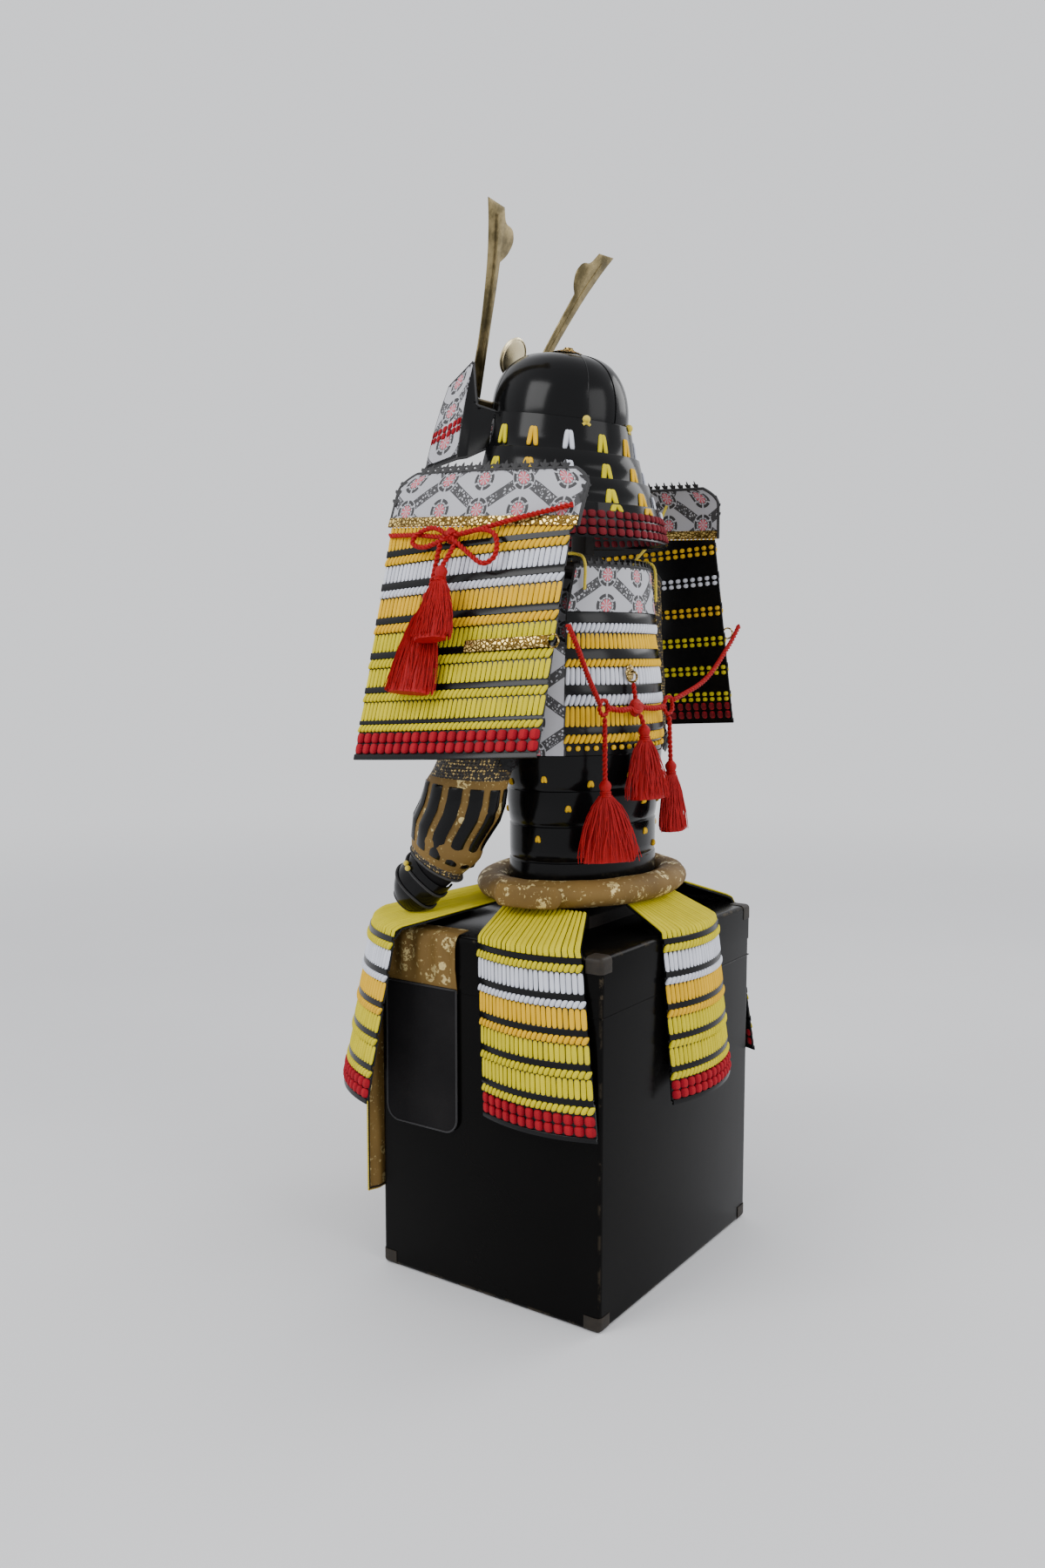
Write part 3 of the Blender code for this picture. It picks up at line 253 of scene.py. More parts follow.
def even_route(route, step):
    """The same line with its points a step apart."""
    count = max(2, round(route_length(route) / step))
    gap = route_length(route) / count
    out, travelled, wanted = [route[0]], 0.0, gap
    for a, b in zip(route, route[1:]):
        length = (b - a).length
        while wanted <= travelled + length + 1e-9 and len(out) < count:
            out.append(a.lerp(b, (wanted - travelled) / length))
            wanted += gap
        travelled += length
    out.append(route[-1])
    return out


def carried_frames(route):
    """A normal and a side at each point, carried along without twist."""
    frames = []
    normal = None
    for i, spot in enumerate(route):
        way = (route[min(i + 1, len(route) - 1)] - route[max(i - 1, 0)]).normalized()
        if normal is None:
            normal = way.orthogonal()
        normal = (normal - way * normal.dot(way)).normalized()
        frames.append((spot, normal.copy(), way.cross(normal)))
    return frames


def sweep(bm, route, radius, sides=6):
    """A tube along a route: a grid rolled round it, sewn up, and closed at its ends."""
    count = len(route) - 1
    made = bmesh.ops.create_grid(bm, x_segments=count, y_segments=sides, size=0.5)["verts"]
    frames = carried_frames(route)
    for v in made:
        i = round((v.co.x + 0.5) * count)
        angle = (v.co.y + 0.5) * math.tau
        spot, normal, side = frames[i]
        thick = radius(i / count) if callable(radius) else radius
        v.co = spot + (normal * math.cos(angle) + side * math.sin(angle)) * thick
    bmesh.ops.remove_doubles(bm, verts=made, dist=MERGE)
    made = [v for v in made if v.is_valid]
    edges = {e for v in made for e in v.link_edges if e.is_boundary}
    if edges:
        bmesh.ops.holes_fill(bm, edges=list(edges), sides=sides + 2)


def rope(bm, route, radius, turn=0.0135, strands=2, sides=6):
    """Strands laid round each other along a route."""
    fine = even_route(route, turn / 9)
    frames = carried_frames(fine)
    for k in range(strands):
        line = []
        for i, (spot, normal, side) in enumerate(frames):
            angle = math.tau * (i / 9 + k / strands)
            line.append(spot + (normal * math.cos(angle) + side * math.sin(angle)) * radius * 0.46)
        sweep(bm, line, radius * 0.56, sides)


def circle(centre, side, up, radius, count):
    """A closed ring of points for a sweep."""
    return [centre + (side * (radius * math.cos(math.tau * i / count))
                      + up * (radius * math.sin(math.tau * i / count))) for i in range(count + 1)]


def ball(bm, spot, radius, across=14, down=8):
    made = bmesh.ops.create_uvsphere(bm, u_segments=across, v_segments=down, radius=radius)
    bmesh.ops.translate(bm, verts=made["verts"], vec=spot)


def pour(small, bm):
    """Add a small mesh to a large one: forms are made apart, because operators slow down as a
    mesh grows."""
    carrier = bpy.data.meshes.new("carrier")
    small.to_mesh(carrier)
    small.free()
    bm.from_mesh(carrier)
    bpy.data.meshes.remove(carrier)


def piece(name, bm, finish, nodes=(), sharp=HARD_SMOOTH):
    """Make a mesh with its finish, hang it on the root, and hide the frame's parts it replaces."""
    bmesh.ops.recalc_face_normals(bm, faces=bm.faces)
    mesh = bpy.data.meshes.new(name)
    bm.to_mesh(mesh)
    bm.free()
    mesh.shade_smooth()
    mesh.set_sharp_from_angle(angle=math.radians(sharp))
    shown = name + "_made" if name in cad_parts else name
    made = bpy.data.objects.new(shown, mesh)
    made.data.materials.append(finish.material)
    bpy.context.scene.collection.objects.link(made)
    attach(made, "root")
    if nodes:
        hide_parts(*nodes)
    return made


def red_cord(name, route, nodes, radius=CORD_RADIUS):
    bm = bmesh.new()
    rope(bm, route, radius)
    made = piece(name, bm, silk, nodes)
    tuple(route[0])
    round(route_length(route), 4)
    [tuple(p) for p in route]


def loop_of_rope(name, route, radius=CORD_RADIUS):
    bm = bmesh.new()
    rope(bm, route, radius)
    return piece(name, bm, silk)


def knot_ball(name, spot, size, turns=3):
    """A tight knot: rings of cord round a core."""
    bm = bmesh.new()
    for k in range(turns):
        ring = []
        tip = math.pi * (k + 0.5) / turns
        for i in range(15):
            angle = math.tau * i / 14
            rise = math.sin(angle) * math.sin(tip) + 0.30 * math.cos(tip) * math.cos(angle)
            away = Vector((math.cos(angle), 0.42 * math.sin(angle) * math.cos(tip), rise))
            ring.append(Vector(spot) + Vector((away.x * size[0], away.y * size[1] + size[1] * 0.25
                                               * math.cos(tip * 2), away.z * size[2])) * 0.78)
        sweep(bm, ring, min(size) * 0.42, 6)
    core = bmesh.ops.create_uvsphere(bm, u_segments=12, v_segments=8, radius=1.0)["verts"]
    bmesh.ops.scale(bm, verts=core, vec=[s * 0.78 for s in size])
    bmesh.ops.translate(bm, verts=core, vec=spot)
    return piece(name, bm, silk)


KNOT_CENTRE = Vector((0.0400, 0.1330, 0.8430))
KNOT_LEFT = Vector((0.1220, 0.1270, 0.8450))
KNOT_RIGHT = Vector((-0.0520, 0.1350, 0.8430))
GUARD_CORDS = (
    ("left", (0.2745, 0.1655, 0.9560), (0.236, 0.156, 0.926), (0.190, 0.143, 0.890), KNOT_LEFT,
     Vector((0.0132, 0.0014, 0.0063))),
    ("right", (-0.2745, 0.1440, 0.9650), (-0.238, 0.142, 0.930), (-0.160, 0.142, 0.880),
     KNOT_RIGHT, Vector((-0.0151, 0.0, 0.0073))),
)
for side, ring, upper, middle, end, reach in GUARD_CORDS:
    red_cord("guard_cord_" + side, smooth_route((ring, upper, middle, end + reach), 6),
             ["guard_cord_" + side], radius=CORD_RADIUS * 1.05)


def ring_route(spot, radius):
    """A hanging loop in the plane of the back."""
    out = []
    for i in range(25):
        angle = math.tau * i / 24 + math.pi / 2
        out.append(Vector(spot) + Vector((radius * math.cos(angle), 0.0006 * math.sin(i),
                                          radius * math.sin(angle))))
    return out


knot_loops = [loop_of_rope("knot_loop_left", ring_route(KNOT_LEFT, 0.0108), 0.0034),
              loop_of_rope("knot_loop_right", ring_route(KNOT_RIGHT, 0.0132), 0.0034),
              knot_ball("knot_middle", KNOT_CENTRE, (0.0150, 0.0092, 0.0130))]
stem = smooth_route((KNOT_CENTRE + Vector((0.0, -0.001, 0.006)), (0.0415, 0.1300, 0.866),
                     (0.0420, 0.1285, 0.8776)), 6)
knot_loops.append(loop_of_rope("knot_stem", stem, 0.0036))
bar = smooth_route((KNOT_LEFT + Vector((-0.011, 0, -0.001)), (0.080, 0.132, 0.8405), KNOT_CENTRE,
                    (-0.006, 0.136, 0.8405), KNOT_RIGHT + Vector((0.0135, 0, -0.001))), 6)
red_cord("back_knot", bar, ["back_knot"], radius=0.0046)

# Shoulder guards' shape.
# A guard is a printed leather top plate over seven lacquered boards, laced together, and it
# hangs from the shoulder in a slight curve. These points are the solids' own.
GUARD_WIDTH = 0.308
GUARD_PLATE_WIDTH = 0.330
GUARD_PLATE_HEIGHT = 0.080
GUARD_BULGE = 0.014
PLATE_ROLL, BOARD_ROLL = -0.045, 0.055
GUARD_SIDES = (("left", 1.0, 0.0, 0.0), ("right", -1.0, -0.022, 0.017))
GUARD_PATH = [Vector(p) for p in ((0.206, 1.168), (0.218, 1.130), (0.229, 1.085), (0.262, 0.960),
                                  (0.286, 0.868), (0.316, 0.758))]


def path_frame(path, s):
    """Point and outward normal at a distance along a path of (distance out, height) points."""
    travelled = 0.0
    for a, b in zip(path, path[1:]):
        step = (b - a).length
        if s <= travelled + step or b is path[-1]:
            way = (b - a) / step
            return a + way * (s - travelled), Vector((-way.y, way.x))
        travelled += step


def blended_frame(path, s, blend):
    """path_frame, with the normal averaged around each bend."""
    point, _ = path_frame(path, s)
    normal = Vector((0.0, 0.0))
    for k in range(-3, 4):
        normal += path_frame(path, max(0.0, s + k * blend / 3))[1]
    return point, normal.normalized()


def guard_frame(sign, shift, lift):
    def at(u, s, out, width, roll):
        spot, way = blended_frame(GUARD_PATH, s, 0.02)
        bulge = GUARD_BULGE * (1.0 - 4.0 * u * u)
        y = u * width - 0.012 * ramp(s, 0.0, 0.1)
        return Vector((sign * (spot.x + way.x * out + bulge), y + shift,
                       spot.y + way.y * out + roll * y + lift))

    return at


# Bows on the shoulder guards.
# A red cord crosses each guard under its top plate, and is tied in a bow whose two ends are bound
# and brushed out as tassels.
BOW_S = 0.096
BOW_OUT = 0.0125
BOW_LINE = ((0.150, 0.060, 0.0058), (0.080, 0.075, 0.0090), (-0.020, BOW_S, BOW_OUT),
            (-0.090, 0.090, 0.0100), (-0.150, 0.086, 0.0062))
BOW_LOOPS = (
    ((-0.024, 0.096), (-0.055, 0.084), (-0.082, 0.092), (-0.085, 0.106), (-0.060, 0.112),
     (-0.024, 0.102)),
    ((-0.014, 0.096), (0.030, 0.091), (0.055, 0.101), (0.060, 0.128), (0.042, 0.139),
     (0.012, 0.120), (-0.014, 0.102)),
)


def bow_spot(frame_at, y, s, out):
    return frame_at(y / GUARD_WIDTH, s, out, GUARD_WIDTH, 0.0)


for side, sign, shift, lift in GUARD_SIDES:
    at = guard_frame(sign, shift, lift)
    for k, loop in enumerate(BOW_LOOPS):
        points = [bow_spot(at, y, s, 0.0150 + 0.0010 * i) for i, (y, s) in enumerate(loop)]
        loop_of_rope("bow_%s_loop_%d" % (side, k + 1), smooth_route(points, 5))
    knot_ball("bow_%s_knot" % side, bow_spot(at, -0.020, BOW_S, BOW_OUT),
                          (0.0085, 0.0115, 0.0108))
    line = smooth_route([bow_spot(at, *point) for point in BOW_LINE], 6)
    red_cord("bow_" + side, line, ["bow_" + side])

# Tassels.
# Each is a bundle of red silk: a bound head on a tail of cord, then two hundred fine strands
# that open towards their cut ends. A ridged core stands for the inner strands.
STRANDS = 220
STRAND_RADIUS = 0.00065
CORE_START, STRAND_START = 0.022, 0.021


def tassel_frame(head, bottom, facing):
    way = (bottom - head).normalized()
    flat = Vector((math.cos(math.radians(facing)), math.sin(math.radians(facing)), 0.0))
    side = way.cross(flat).normalized()
    return way, side, side.cross(way).normalized()


def tassel(name, start, head, bottom, half_width, half_depth, facing, declared):
    start, head, bottom = Vector(start), Vector(head), Vector(bottom)
    way, side, flat = tassel_frame(head, bottom, facing)
    tail = smooth_route((start, start.lerp(head, 0.5), head), 6)
    bm = bmesh.new()
    if not declared:
        rope(bm, tail, CORD_RADIUS)
    length = (bottom - head).length
    head_line = [head + way * (0.024 * i / 8 - 0.001) for i in range(9)]
    swell = (0.0030, 0.0062, 0.0082, 0.0088, 0.0082, 0.0070, 0.0064, 0.0076, 0.0098)
    sweep(bm, head_line, lambda t: swell[round(t * 8)], 14)
    for drop in (0.0165, 0.0190):
        sweep(bm, circle(head + way * drop, side, flat, 0.0072, 16), 0.0013, 5)
    rows, columns = 9, 40
    made = bmesh.ops.create_grid(bm, x_segments=columns, y_segments=rows, size=0.5)["verts"]
    lobes = [chance.uniform(0.86, 1.0) for _ in range(columns)]
    for v in made:
        column = round((v.co.x + 0.5) * columns) % columns
        t = v.co.y + 0.5
        angle = math.tau * column / columns
        open_up = lerp(0.0092, half_width * 0.88, t ** 0.8) * lobes[column]
        deep = lerp(0.0086, half_depth * 0.86, t ** 0.8) * lobes[column]
        uneven = 0.965 + 0.035 * lobes[(column * 7) % columns]
        drop = CORE_START + (length - CORE_START) * t * uneven
        v.co = head + way * drop + side * open_up * math.cos(angle) + flat * deep * math.sin(angle)
    bmesh.ops.remove_doubles(bm, verts=made, dist=MERGE)
    edges = {e for v in made if v.is_valid for e in v.link_edges if e.is_boundary}
    bmesh.ops.holes_fill(bm, edges=list(edges), sides=columns + 2)
    lock = bmesh.new()
    for i in range(STRANDS):
        if i % 20 == 19:
            pour(lock, bm)
            lock = bmesh.new()
        angle = math.tau * i / STRANDS + chance.uniform(-0.05, 0.05)
        spread = chance.uniform(0.55, 1.10)
        sway = chance.uniform(-0.14, 0.14)
        end = chance.uniform(0.90, 1.0)
        curl = chance.uniform(0.0002, 0.0018)
        line = []
        for k in range(7):
            t = k / 6 * end
            turned = angle + sway * math.sin(t * 5.0)
            bulge = t ** 0.62 * (1.0 + 0.10 * math.sin(math.pi * t))
            open_up = lerp(0.0080, half_width * spread, bulge) + curl * math.sin(t * 9.0 + i)
            deep = lerp(0.0070, half_depth * spread, bulge) + curl * math.cos(t * 7.0 + i)
            line.append(head + way * (STRAND_START + (length - STRAND_START) * t)
                        + side * open_up * math.cos(turned) + flat * deep * math.sin(turned))
        sweep(lock, line, STRAND_RADIUS, 3)
    pour(lock, bm)
    piece(name, bm, silk, [name])
    if declared:
        red_cord(name.replace("tassel", "tail"), tail, [name])


tassel("back_tassel_left", KNOT_LEFT + Vector((0.0, 0.0020, -0.0143)), (0.122, 0.130, 0.744),
       (0.124, 0.138, 0.630), 0.043, 0.020, 40.0, True)
tassel("back_tassel_middle", KNOT_CENTRE + Vector((0.0, 0.0060, -0.0097)), (0.041, 0.146, 0.818),
       (0.041, 0.153, 0.712), 0.034, 0.022, 70.0, False)
tassel("back_tassel_right", KNOT_RIGHT + Vector((0.0, 0.0020, -0.0168)), (-0.054, 0.139, 0.760),
       (-0.056, 0.143, 0.655), 0.030, 0.020, 100.0, True)
for side, sign, shift, lift in GUARD_SIDES:
    at = guard_frame(sign, shift, lift)
    turn = 0.0 if sign > 0 else 180.0
    tassel("bow_tassel_front_" + side, bow_spot(at, -0.033, 0.1095, 0.0195),
           bow_spot(at, -0.040, 0.176, 0.0170), bow_spot(at, -0.044, 0.318, 0.0240), 0.040, 0.014,
           turn, True)
    tassel("bow_tassel_back_" + side, bow_spot(at, -0.0046, 0.1142, 0.0236),
           bow_spot(at, -0.012, 0.146, 0.0330), bow_spot(at, -0.004, 0.250, 0.0440), 0.032, 0.013,
           turn, False)

# Guard ties.
# A yellow braid of three strands ties each guard to the shoulder strap and hangs down behind
# it. Its end is bare.
TIES = (
    ("left", ((0.2203, 0.060, 1.1405), (0.182, 0.040, 1.1000), (0.141, 0.022, 1.0614),
              (0.1010, 0.062, 1.0608), (0.1015, 0.082, 1.0500), (0.104, 0.084, 1.0100))),
    ("right", ((-0.2203, 0.038, 1.1575), (-0.182, 0.034, 1.1020), (-0.141, 0.022, 1.0614),
               (-0.1010, 0.062, 1.0602), (-0.1015, 0.082, 1.0500), (-0.104, 0.084, 1.0000))),
)
braid = Finish("yellow_braid", Roughness=0.7, Sheen_Weight=0.3)
braid.dye(braid.noise(500.0), (0.55, 0.36, 0.03), LEMON)
braid.bump(braid.noise(700.0), 0.0006, 0.7)
for side, points in TIES:
    bm = bmesh.new()
    route = smooth_route(points, 5)
    rope(bm, route, 0.0024, turn=0.010, strands=3, sides=5)
    made = piece("guard_tie_" + side, bm, braid, ["guard_tie_" + side])
    round(route_length(route), 4)

# Laced boards.
# Lacquered boards are tied one below another by flat braided cords. Each board shows its black
# top edge, a thick slanting braid, and the ends of the cords that hold up the next board.
PLATE_OUT = 0.0030
BOARD_WALL = 0.0026
LACE_PITCH = 0.0077

lacing = Finish("flat_lacing", Roughness=0.8, IOR=1.3)
dye = lacing.mark("dye", "Color")
across, along, _ = lacing.parts(lacing.mark("weave"))
chevron = (along * 2400.0 + abs(across) * 1500.0).of("SINE")
stain = lacing.noise(55.0, 3.0)
deep = lacing.node("ShaderNodeHueSaturation", None, {
    "Color": dye, "Value": 0.62, "Saturation": 1.08, "Hue": 0.497})
# Colour mix: the chevron and the stain noise are the braid's own tone, and the term that darkens
# each cord's two sides is painted shade where neighbouring cords meet.
shade = chevron * 0.10 + stain * 0.5 + abs(across).over(0.0022, 0.0039) * 0.55
lacing.dye(shade.of("MINIMUM", 1.0), dye, deep)
lacing.bump(chevron * 0.5 + lacing.noise(900.0) * 0.5, 0.0004, 0.5)

lacquer = Finish("board_lacquer", IOR=1.28)
smear = lacquer.noise(14.0, 4.0)
lacquer.dye(smear, (0.0020, 0.0020, 0.0022), (0.0050, 0.0050, 0.0055))
lacquer.put("Roughness", smear * 0.16 + 0.15)
lacquer.bump(lacquer.noise(60.0, 2.0), 0.0005, 0.15)


def tint(colour, spread=0.06):
    shade = 1.0 + chance.uniform(-spread, spread)
    return (colour[0] * shade, colour[1] * shade, colour[2] * shade, 1.0)


def soft_form(bm, at, u, s, out, half_u, half_s, thick, colour, width, round_off=4.0, lean=0.0,
              slope=0.0, sides=8, rings=6):
    """A closed, rounded form laid on a panel: a ball pulled out towards a rounded block."""
    marks = bm.verts.layers.float_vector["weave"]
    dyes = bm.verts.layers.float_color["dye"]
    for v in bmesh.ops.create_uvsphere(bm, u_segments=sides, v_segments=rings, radius=1.0)["verts"]:
        x, y, z = v.co
        waist = math.sqrt(max(1e-9, 1.0 - z * z))
        full = (1.0 - abs(z) ** round_off) ** (1.0 / round_off) if abs(z) < 0.999 else 0.0
        swell = full / waist if waist > 0.01 else 1.0
        x, y = x * swell, y * swell
        v[marks] = (x * half_u * width, z * half_s, 0.0)
        v[dyes] = colour
        v.co = at(u + (x + lean * z) * half_u, s + z * half_s, out + y * thick + slope * z)


def coloured_mesh():
    bm = bmesh.new()
    bm.verts.layers.float_vector.new("weave")
    bm.verts.layers.float_color.new("dye")
    return bm


def board(bm, at, rows, columns, thickness, wrap=False):
    """A board's wall: a grid laid on rows of (distance down, height), then given its thickness."""
    made = bmesh.ops.create_grid(bm, x_segments=columns, y_segments=len(rows) - 1,
                                 size=0.5)["verts"]
    marks = bm.verts.layers.float_vector.get("weave")
    for v in made:
        s, out = rows[round((v.co.y + 0.5) * (len(rows) - 1))]
        u = v.co.x
        v.co = at(u, s, out)
        if marks:
            v[marks] = (u, s, out)
    faces = list({f for v in made for f in v.link_faces})
    if wrap:
        bmesh.ops.remove_doubles(bm, verts=made, dist=MERGE)
        faces = [f for f in faces if f.is_valid]
    for f in faces:
        f.normal_update()
    tall = max(range(len(rows) - 1), key=lambda i: abs(rows[i + 1][0] - rows[i][0]))
    s, out = lerp(rows[tall][0], rows[tall + 1][0], 0.5), rows[tall][1]
    place = at(0.1, s, out)
    nearest = min(faces, key=lambda f: (f.calc_center_median() - place).length)
    if nearest.normal.dot(at(0.1, s, out + 0.01) - place) < 0.0:
        bmesh.ops.reverse_faces(bm, faces=faces)
    bmesh.ops.solidify(bm, geom=faces, thickness=thickness)


def shell(name, at, rows, columns, thickness, finish, nodes, wrap=False, sharp=HARD_SMOOTH):
    """A board or tube that is a piece of its own."""
    bm = coloured_mesh()
    board(bm, at, rows, columns, thickness, wrap)
    return piece(name, bm, finish, nodes, sharp)


def even(start, reach, count, out=0.0):
    """Rows of a board, at even distances down it."""
    return [(start + reach * i / count, out) for i in range(count + 1)]


def board_rows(tiers, start, lead=()):
    """Rows for the lacquered wall: each board's edge stands up, and the rest lies low."""
    rows = list(lead)
    s = start
    for tier in tiers:
        kind, height = tier[:2]
        if kind == "plate":
            rows += [(s, 0.0004), (s + 0.0004, PLATE_OUT - 0.0006), (s + 0.0012, PLATE_OUT),
                     (s + height, PLATE_OUT - 0.0002), (s + height + 0.0004, 0.0003)]
        elif not rows:
            rows.append((s, 0.0002))
        s += height
    if rows[-1][0] < s - 0.001:
        rows.append((s, 0.0002))
    return rows


def lace_panel(panel, at, tiers, start, width_at, knots):
    """The cords on a panel: lacing between boards, a slanting braid on each, and the knots."""
    s = start
    for tier in tiers:
        kind, height = tier[:2]
        bm = coloured_mesh()
        width = width_at(s)
        count = round(width / LACE_PITCH)
        if kind == "lacing":
            for i in range(count):
                u = (i + 0.5) / count - 0.5
                half = 0.5 / count * chance.uniform(0.86, 0.97)
                soft_form(bm, at, u + chance.uniform(-0.03, 0.03) / count,
                          s + height / 2 + 0.0004, 0.0010, half, height / 2 + 0.0016, 0.0016,
                          tint(tier[2]), width, 4.4, chance.uniform(-0.05, 0.05), 0.0008, 8, 8)
        elif kind == "braid":
            for i in range(count):
                u = (i + 0.5) / count - 0.5
                soft_form(bm, at, u, s + height * 0.47, 0.0019, 0.52 / count, height * 0.45,
                          0.0030, tint(tier[2], 0.05), width, 2.6, -0.70)
        elif kind == "knots":
            for i in range(knots):
                u = (i + 0.5) / knots - 0.5
                soft_form(bm, at, u, s + height * 0.5, 0.0010, 0.47 / knots, height * 0.48,
                          0.0050, tint(tier[2], 0.10), width, 3.2, 0.0, 0.0, 10, 8)
        elif kind == "dots":
            for i in range(knots):
                u = (i + 0.5) / knots - 0.5
                soft_form(bm, at, u, s + height * 0.35, 0.0014, 0.30 / knots, height * 0.24,
                          0.0030, tint(tier[2], 0.08), width, 2.2)
        pour(bm, panel)
        s += height


def laced_board(name, at, tiers, start, width_at, columns, knots, nodes, lead=(), extra=None):
    """One panel as two pieces: the lacquered boards, and all the cord that is laced on them."""
    shell(name + "_boards", at, board_rows(tiers, start, lead), columns, BOARD_WALL, lacquer,
          nodes)
    bm = coloured_mesh()
    lace_panel(bm, at, tiers, start, width_at, knots)
    if extra:
        inside = coloured_mesh()
        extra(inside)
        pour(inside, bm)
    piece(name + "_lacing", bm, lacing, nodes, sharp=CORD_SMOOTH)


GUARD_TIERS = (
    ("lacing", 0.018, ORANGE), ("plate", 0.009), ("braid", 0.014, ORANGE),
    ("lacing", 0.024, WHITE), ("plate", 0.011), ("braid", 0.013, WHITE),
    ("lacing", 0.027, ORANGE), ("plate", 0.010), ("braid", 0.015, ORANGE),
    ("lacing", 0.025, LEMON), ("plate", 0.010), ("braid", 0.015, LEMON),
    ("lacing", 0.025, LEMON), ("plate", 0.009), ("braid", 0.014, LEMON),
    ("lacing", 0.025, LEMON), ("plate", 0.006), ("braid", 0.012, LEMON),
    ("knots", 0.015, KNOT_RED), ("knots", 0.015, KNOT_RED), ("plate", 0.008),
)
LACE_START = GUARD_PLATE_HEIGHT + 0.0008
for side, sign, shift, lift in GUARD_SIDES:
    frame_at = guard_frame(sign, shift, lift)

    def guard_laced_at(u, s, out):
        share = ramp(s, LACE_START, 0.020)
        return frame_at(u, s, out, GUARD_WIDTH, lerp(PLATE_ROLL, BOARD_ROLL, share))

    def inner_dots(panel):
        """Where the lacing goes through the boards, its turns show inside in two rows."""
        s = LACE_START
        for tier in GUARD_TIERS:
            kind, height = tier[:2]
            bm = coloured_mesh()
            if kind == "braid":
                for i in range(22):
                    u = (i + 0.5) / 22 - 0.5
                    for drop in (-0.002, 0.007):
                        soft_form(bm, guard_laced_at, u, s + drop, -0.0032, 0.016, 0.0036, 0.0024,
                                  tint(tier[2]), GUARD_WIDTH, 2.4, 0.0, 0.0, 6, 4)
            elif kind == "knots":
                for i in range(20):
                    u = (i + 0.5) / 20 - 0.5
                    soft_form(bm, guard_laced_at, u, s + height / 2, -0.0030, 0.020, 0.0050,
                              0.0012, tint((0.20, 0.008, 0.012)), GUARD_WIDTH, 2.6, 0, 0, 6, 4)
            pour(bm, panel)
            s += height

    laced_board("guard_" + side, guard_laced_at, GUARD_TIERS, LACE_START, lambda s: GUARD_WIDTH,
                30, 20, ["guard_laced_" + side], extra=inner_dots)

# Printed leather.
# Buckskin printed in grey and black with a lattice of scrolled bands and small red flower wheels.
# The pattern is the traditional kind, drawn here from sums, 136 mm from crossing to crossing.
LATTICE_WIDE = 0.068
LATTICE_HIGH = 0.044
FIRST_ROW = 0.013

leather = Finish("printed_leather", Roughness=0.62)
x, y, _ = leather.parts(leather.mark("weave"))
x, y = x + LATTICE_WIDE, y - FIRST_ROW
px = x - (x / LATTICE_WIDE).of("ROUND") * LATTICE_WIDE
py = y - (y / LATTICE_HIGH).of("ROUND") * LATTICE_HIGH
near, turned = (px * px + py * py).of("SQRT"), py.of("ARCTAN2", px)
slant = math.hypot(1.0 / LATTICE_WIDE, 1.0 / LATTICE_HIGH)
lines = []
for line in (x / LATTICE_WIDE + y / LATTICE_HIGH, x / LATTICE_WIDE - y / LATTICE_HIGH):
    lines.append(abs(line - (line * 0.5).of("ROUND") * 2.0) / slant)
band = lines[0].of("MINIMUM", lines[1])
scroll = leather.node("ShaderNodeTexVoronoi", {"feature": "DISTANCE_TO_EDGE"}, {
    "Vector": leather.mark("weave"), "Scale": 210.0})
marks = (scroll < 0.20) * (band < 0.0064)
edges = (band > 0.0062) * (band < 0.0076)
flower = (near < 0.0092) * (near > 0.0012) * ((turned * 8.0).of("COSINE") < 0.45)
rim = (near > 0.0090) * (near < 0.0100)
ticks = (near > 0.0100) * (near < 0.0128) * ((turned * 14.0).of("COSINE") > 0.78)
segments = (near > 0.0122) * (near < 0.0170) * ((turned * 6.0).of("COSINE") > -0.82)
ground = leather.mix(leather.noise(9.0, 3.0), (0.36, 0.36, 0.39), (0.47, 0.47, 0.50))
colour = leather.mix(marks.of("MAXIMUM", edges) * 0.94, ground, (0.014, 0.013, 0.014))
colour = leather.mix(near < 0.0184, colour, ground)
colour = leather.mix(flower * 0.85, colour, (0.55, 0.035, 0.065))
leather.dye(rim.of("MAXIMUM", ticks).of("MAXIMUM", segments) * 0.96, colour,
            (0.012, 0.011, 0.012))
leather.bump(leather.noise(700.0, 2.0), 0.0004, 0.5)
edge_cloth = Finish("black_edge_binding", Roughness=0.6)
edge_cloth.dye(edge_cloth.noise(600.0), (0.006, 0.006, 0.007), (0.022, 0.021, 0.022))
edge_cloth.bump(edge_cloth.noise(900.0), 0.0005, 0.7)

gilt = Finish("engraved_gilt", Metallic=1.0)
scratch = gilt.noise(260.0, 3.0)
vine = gilt.node("ShaderNodeTexVoronoi", {"feature": "DISTANCE_TO_EDGE"}, {
    "Vector": gilt.place(), "Scale": 190.0})
gilt.dye(vine.over(0.05, 0.22), (0.10, 0.055, 0.008), (0.80, 0.58, 0.19))
gilt.put("Roughness", scratch * 0.25 + 0.22)
gilt.bump(vine.over(0.02, 0.22), 0.0010, 0.9)


def leather_board(name, at, rows, columns, width, nodes, thickness=BOARD_WALL, tall=1.0):
    """A stiff board covered in printed leather, whose pattern runs in real millimetres."""
    bm = coloured_mesh()
    board(bm, at, rows, columns, thickness)
    marks = bm.verts.layers.float_vector["weave"]
    for v in bm.verts:
        v[marks] = (v[marks].x * width, v[marks].y * tall, 0.0)
    piece(name, bm, leather, nodes)


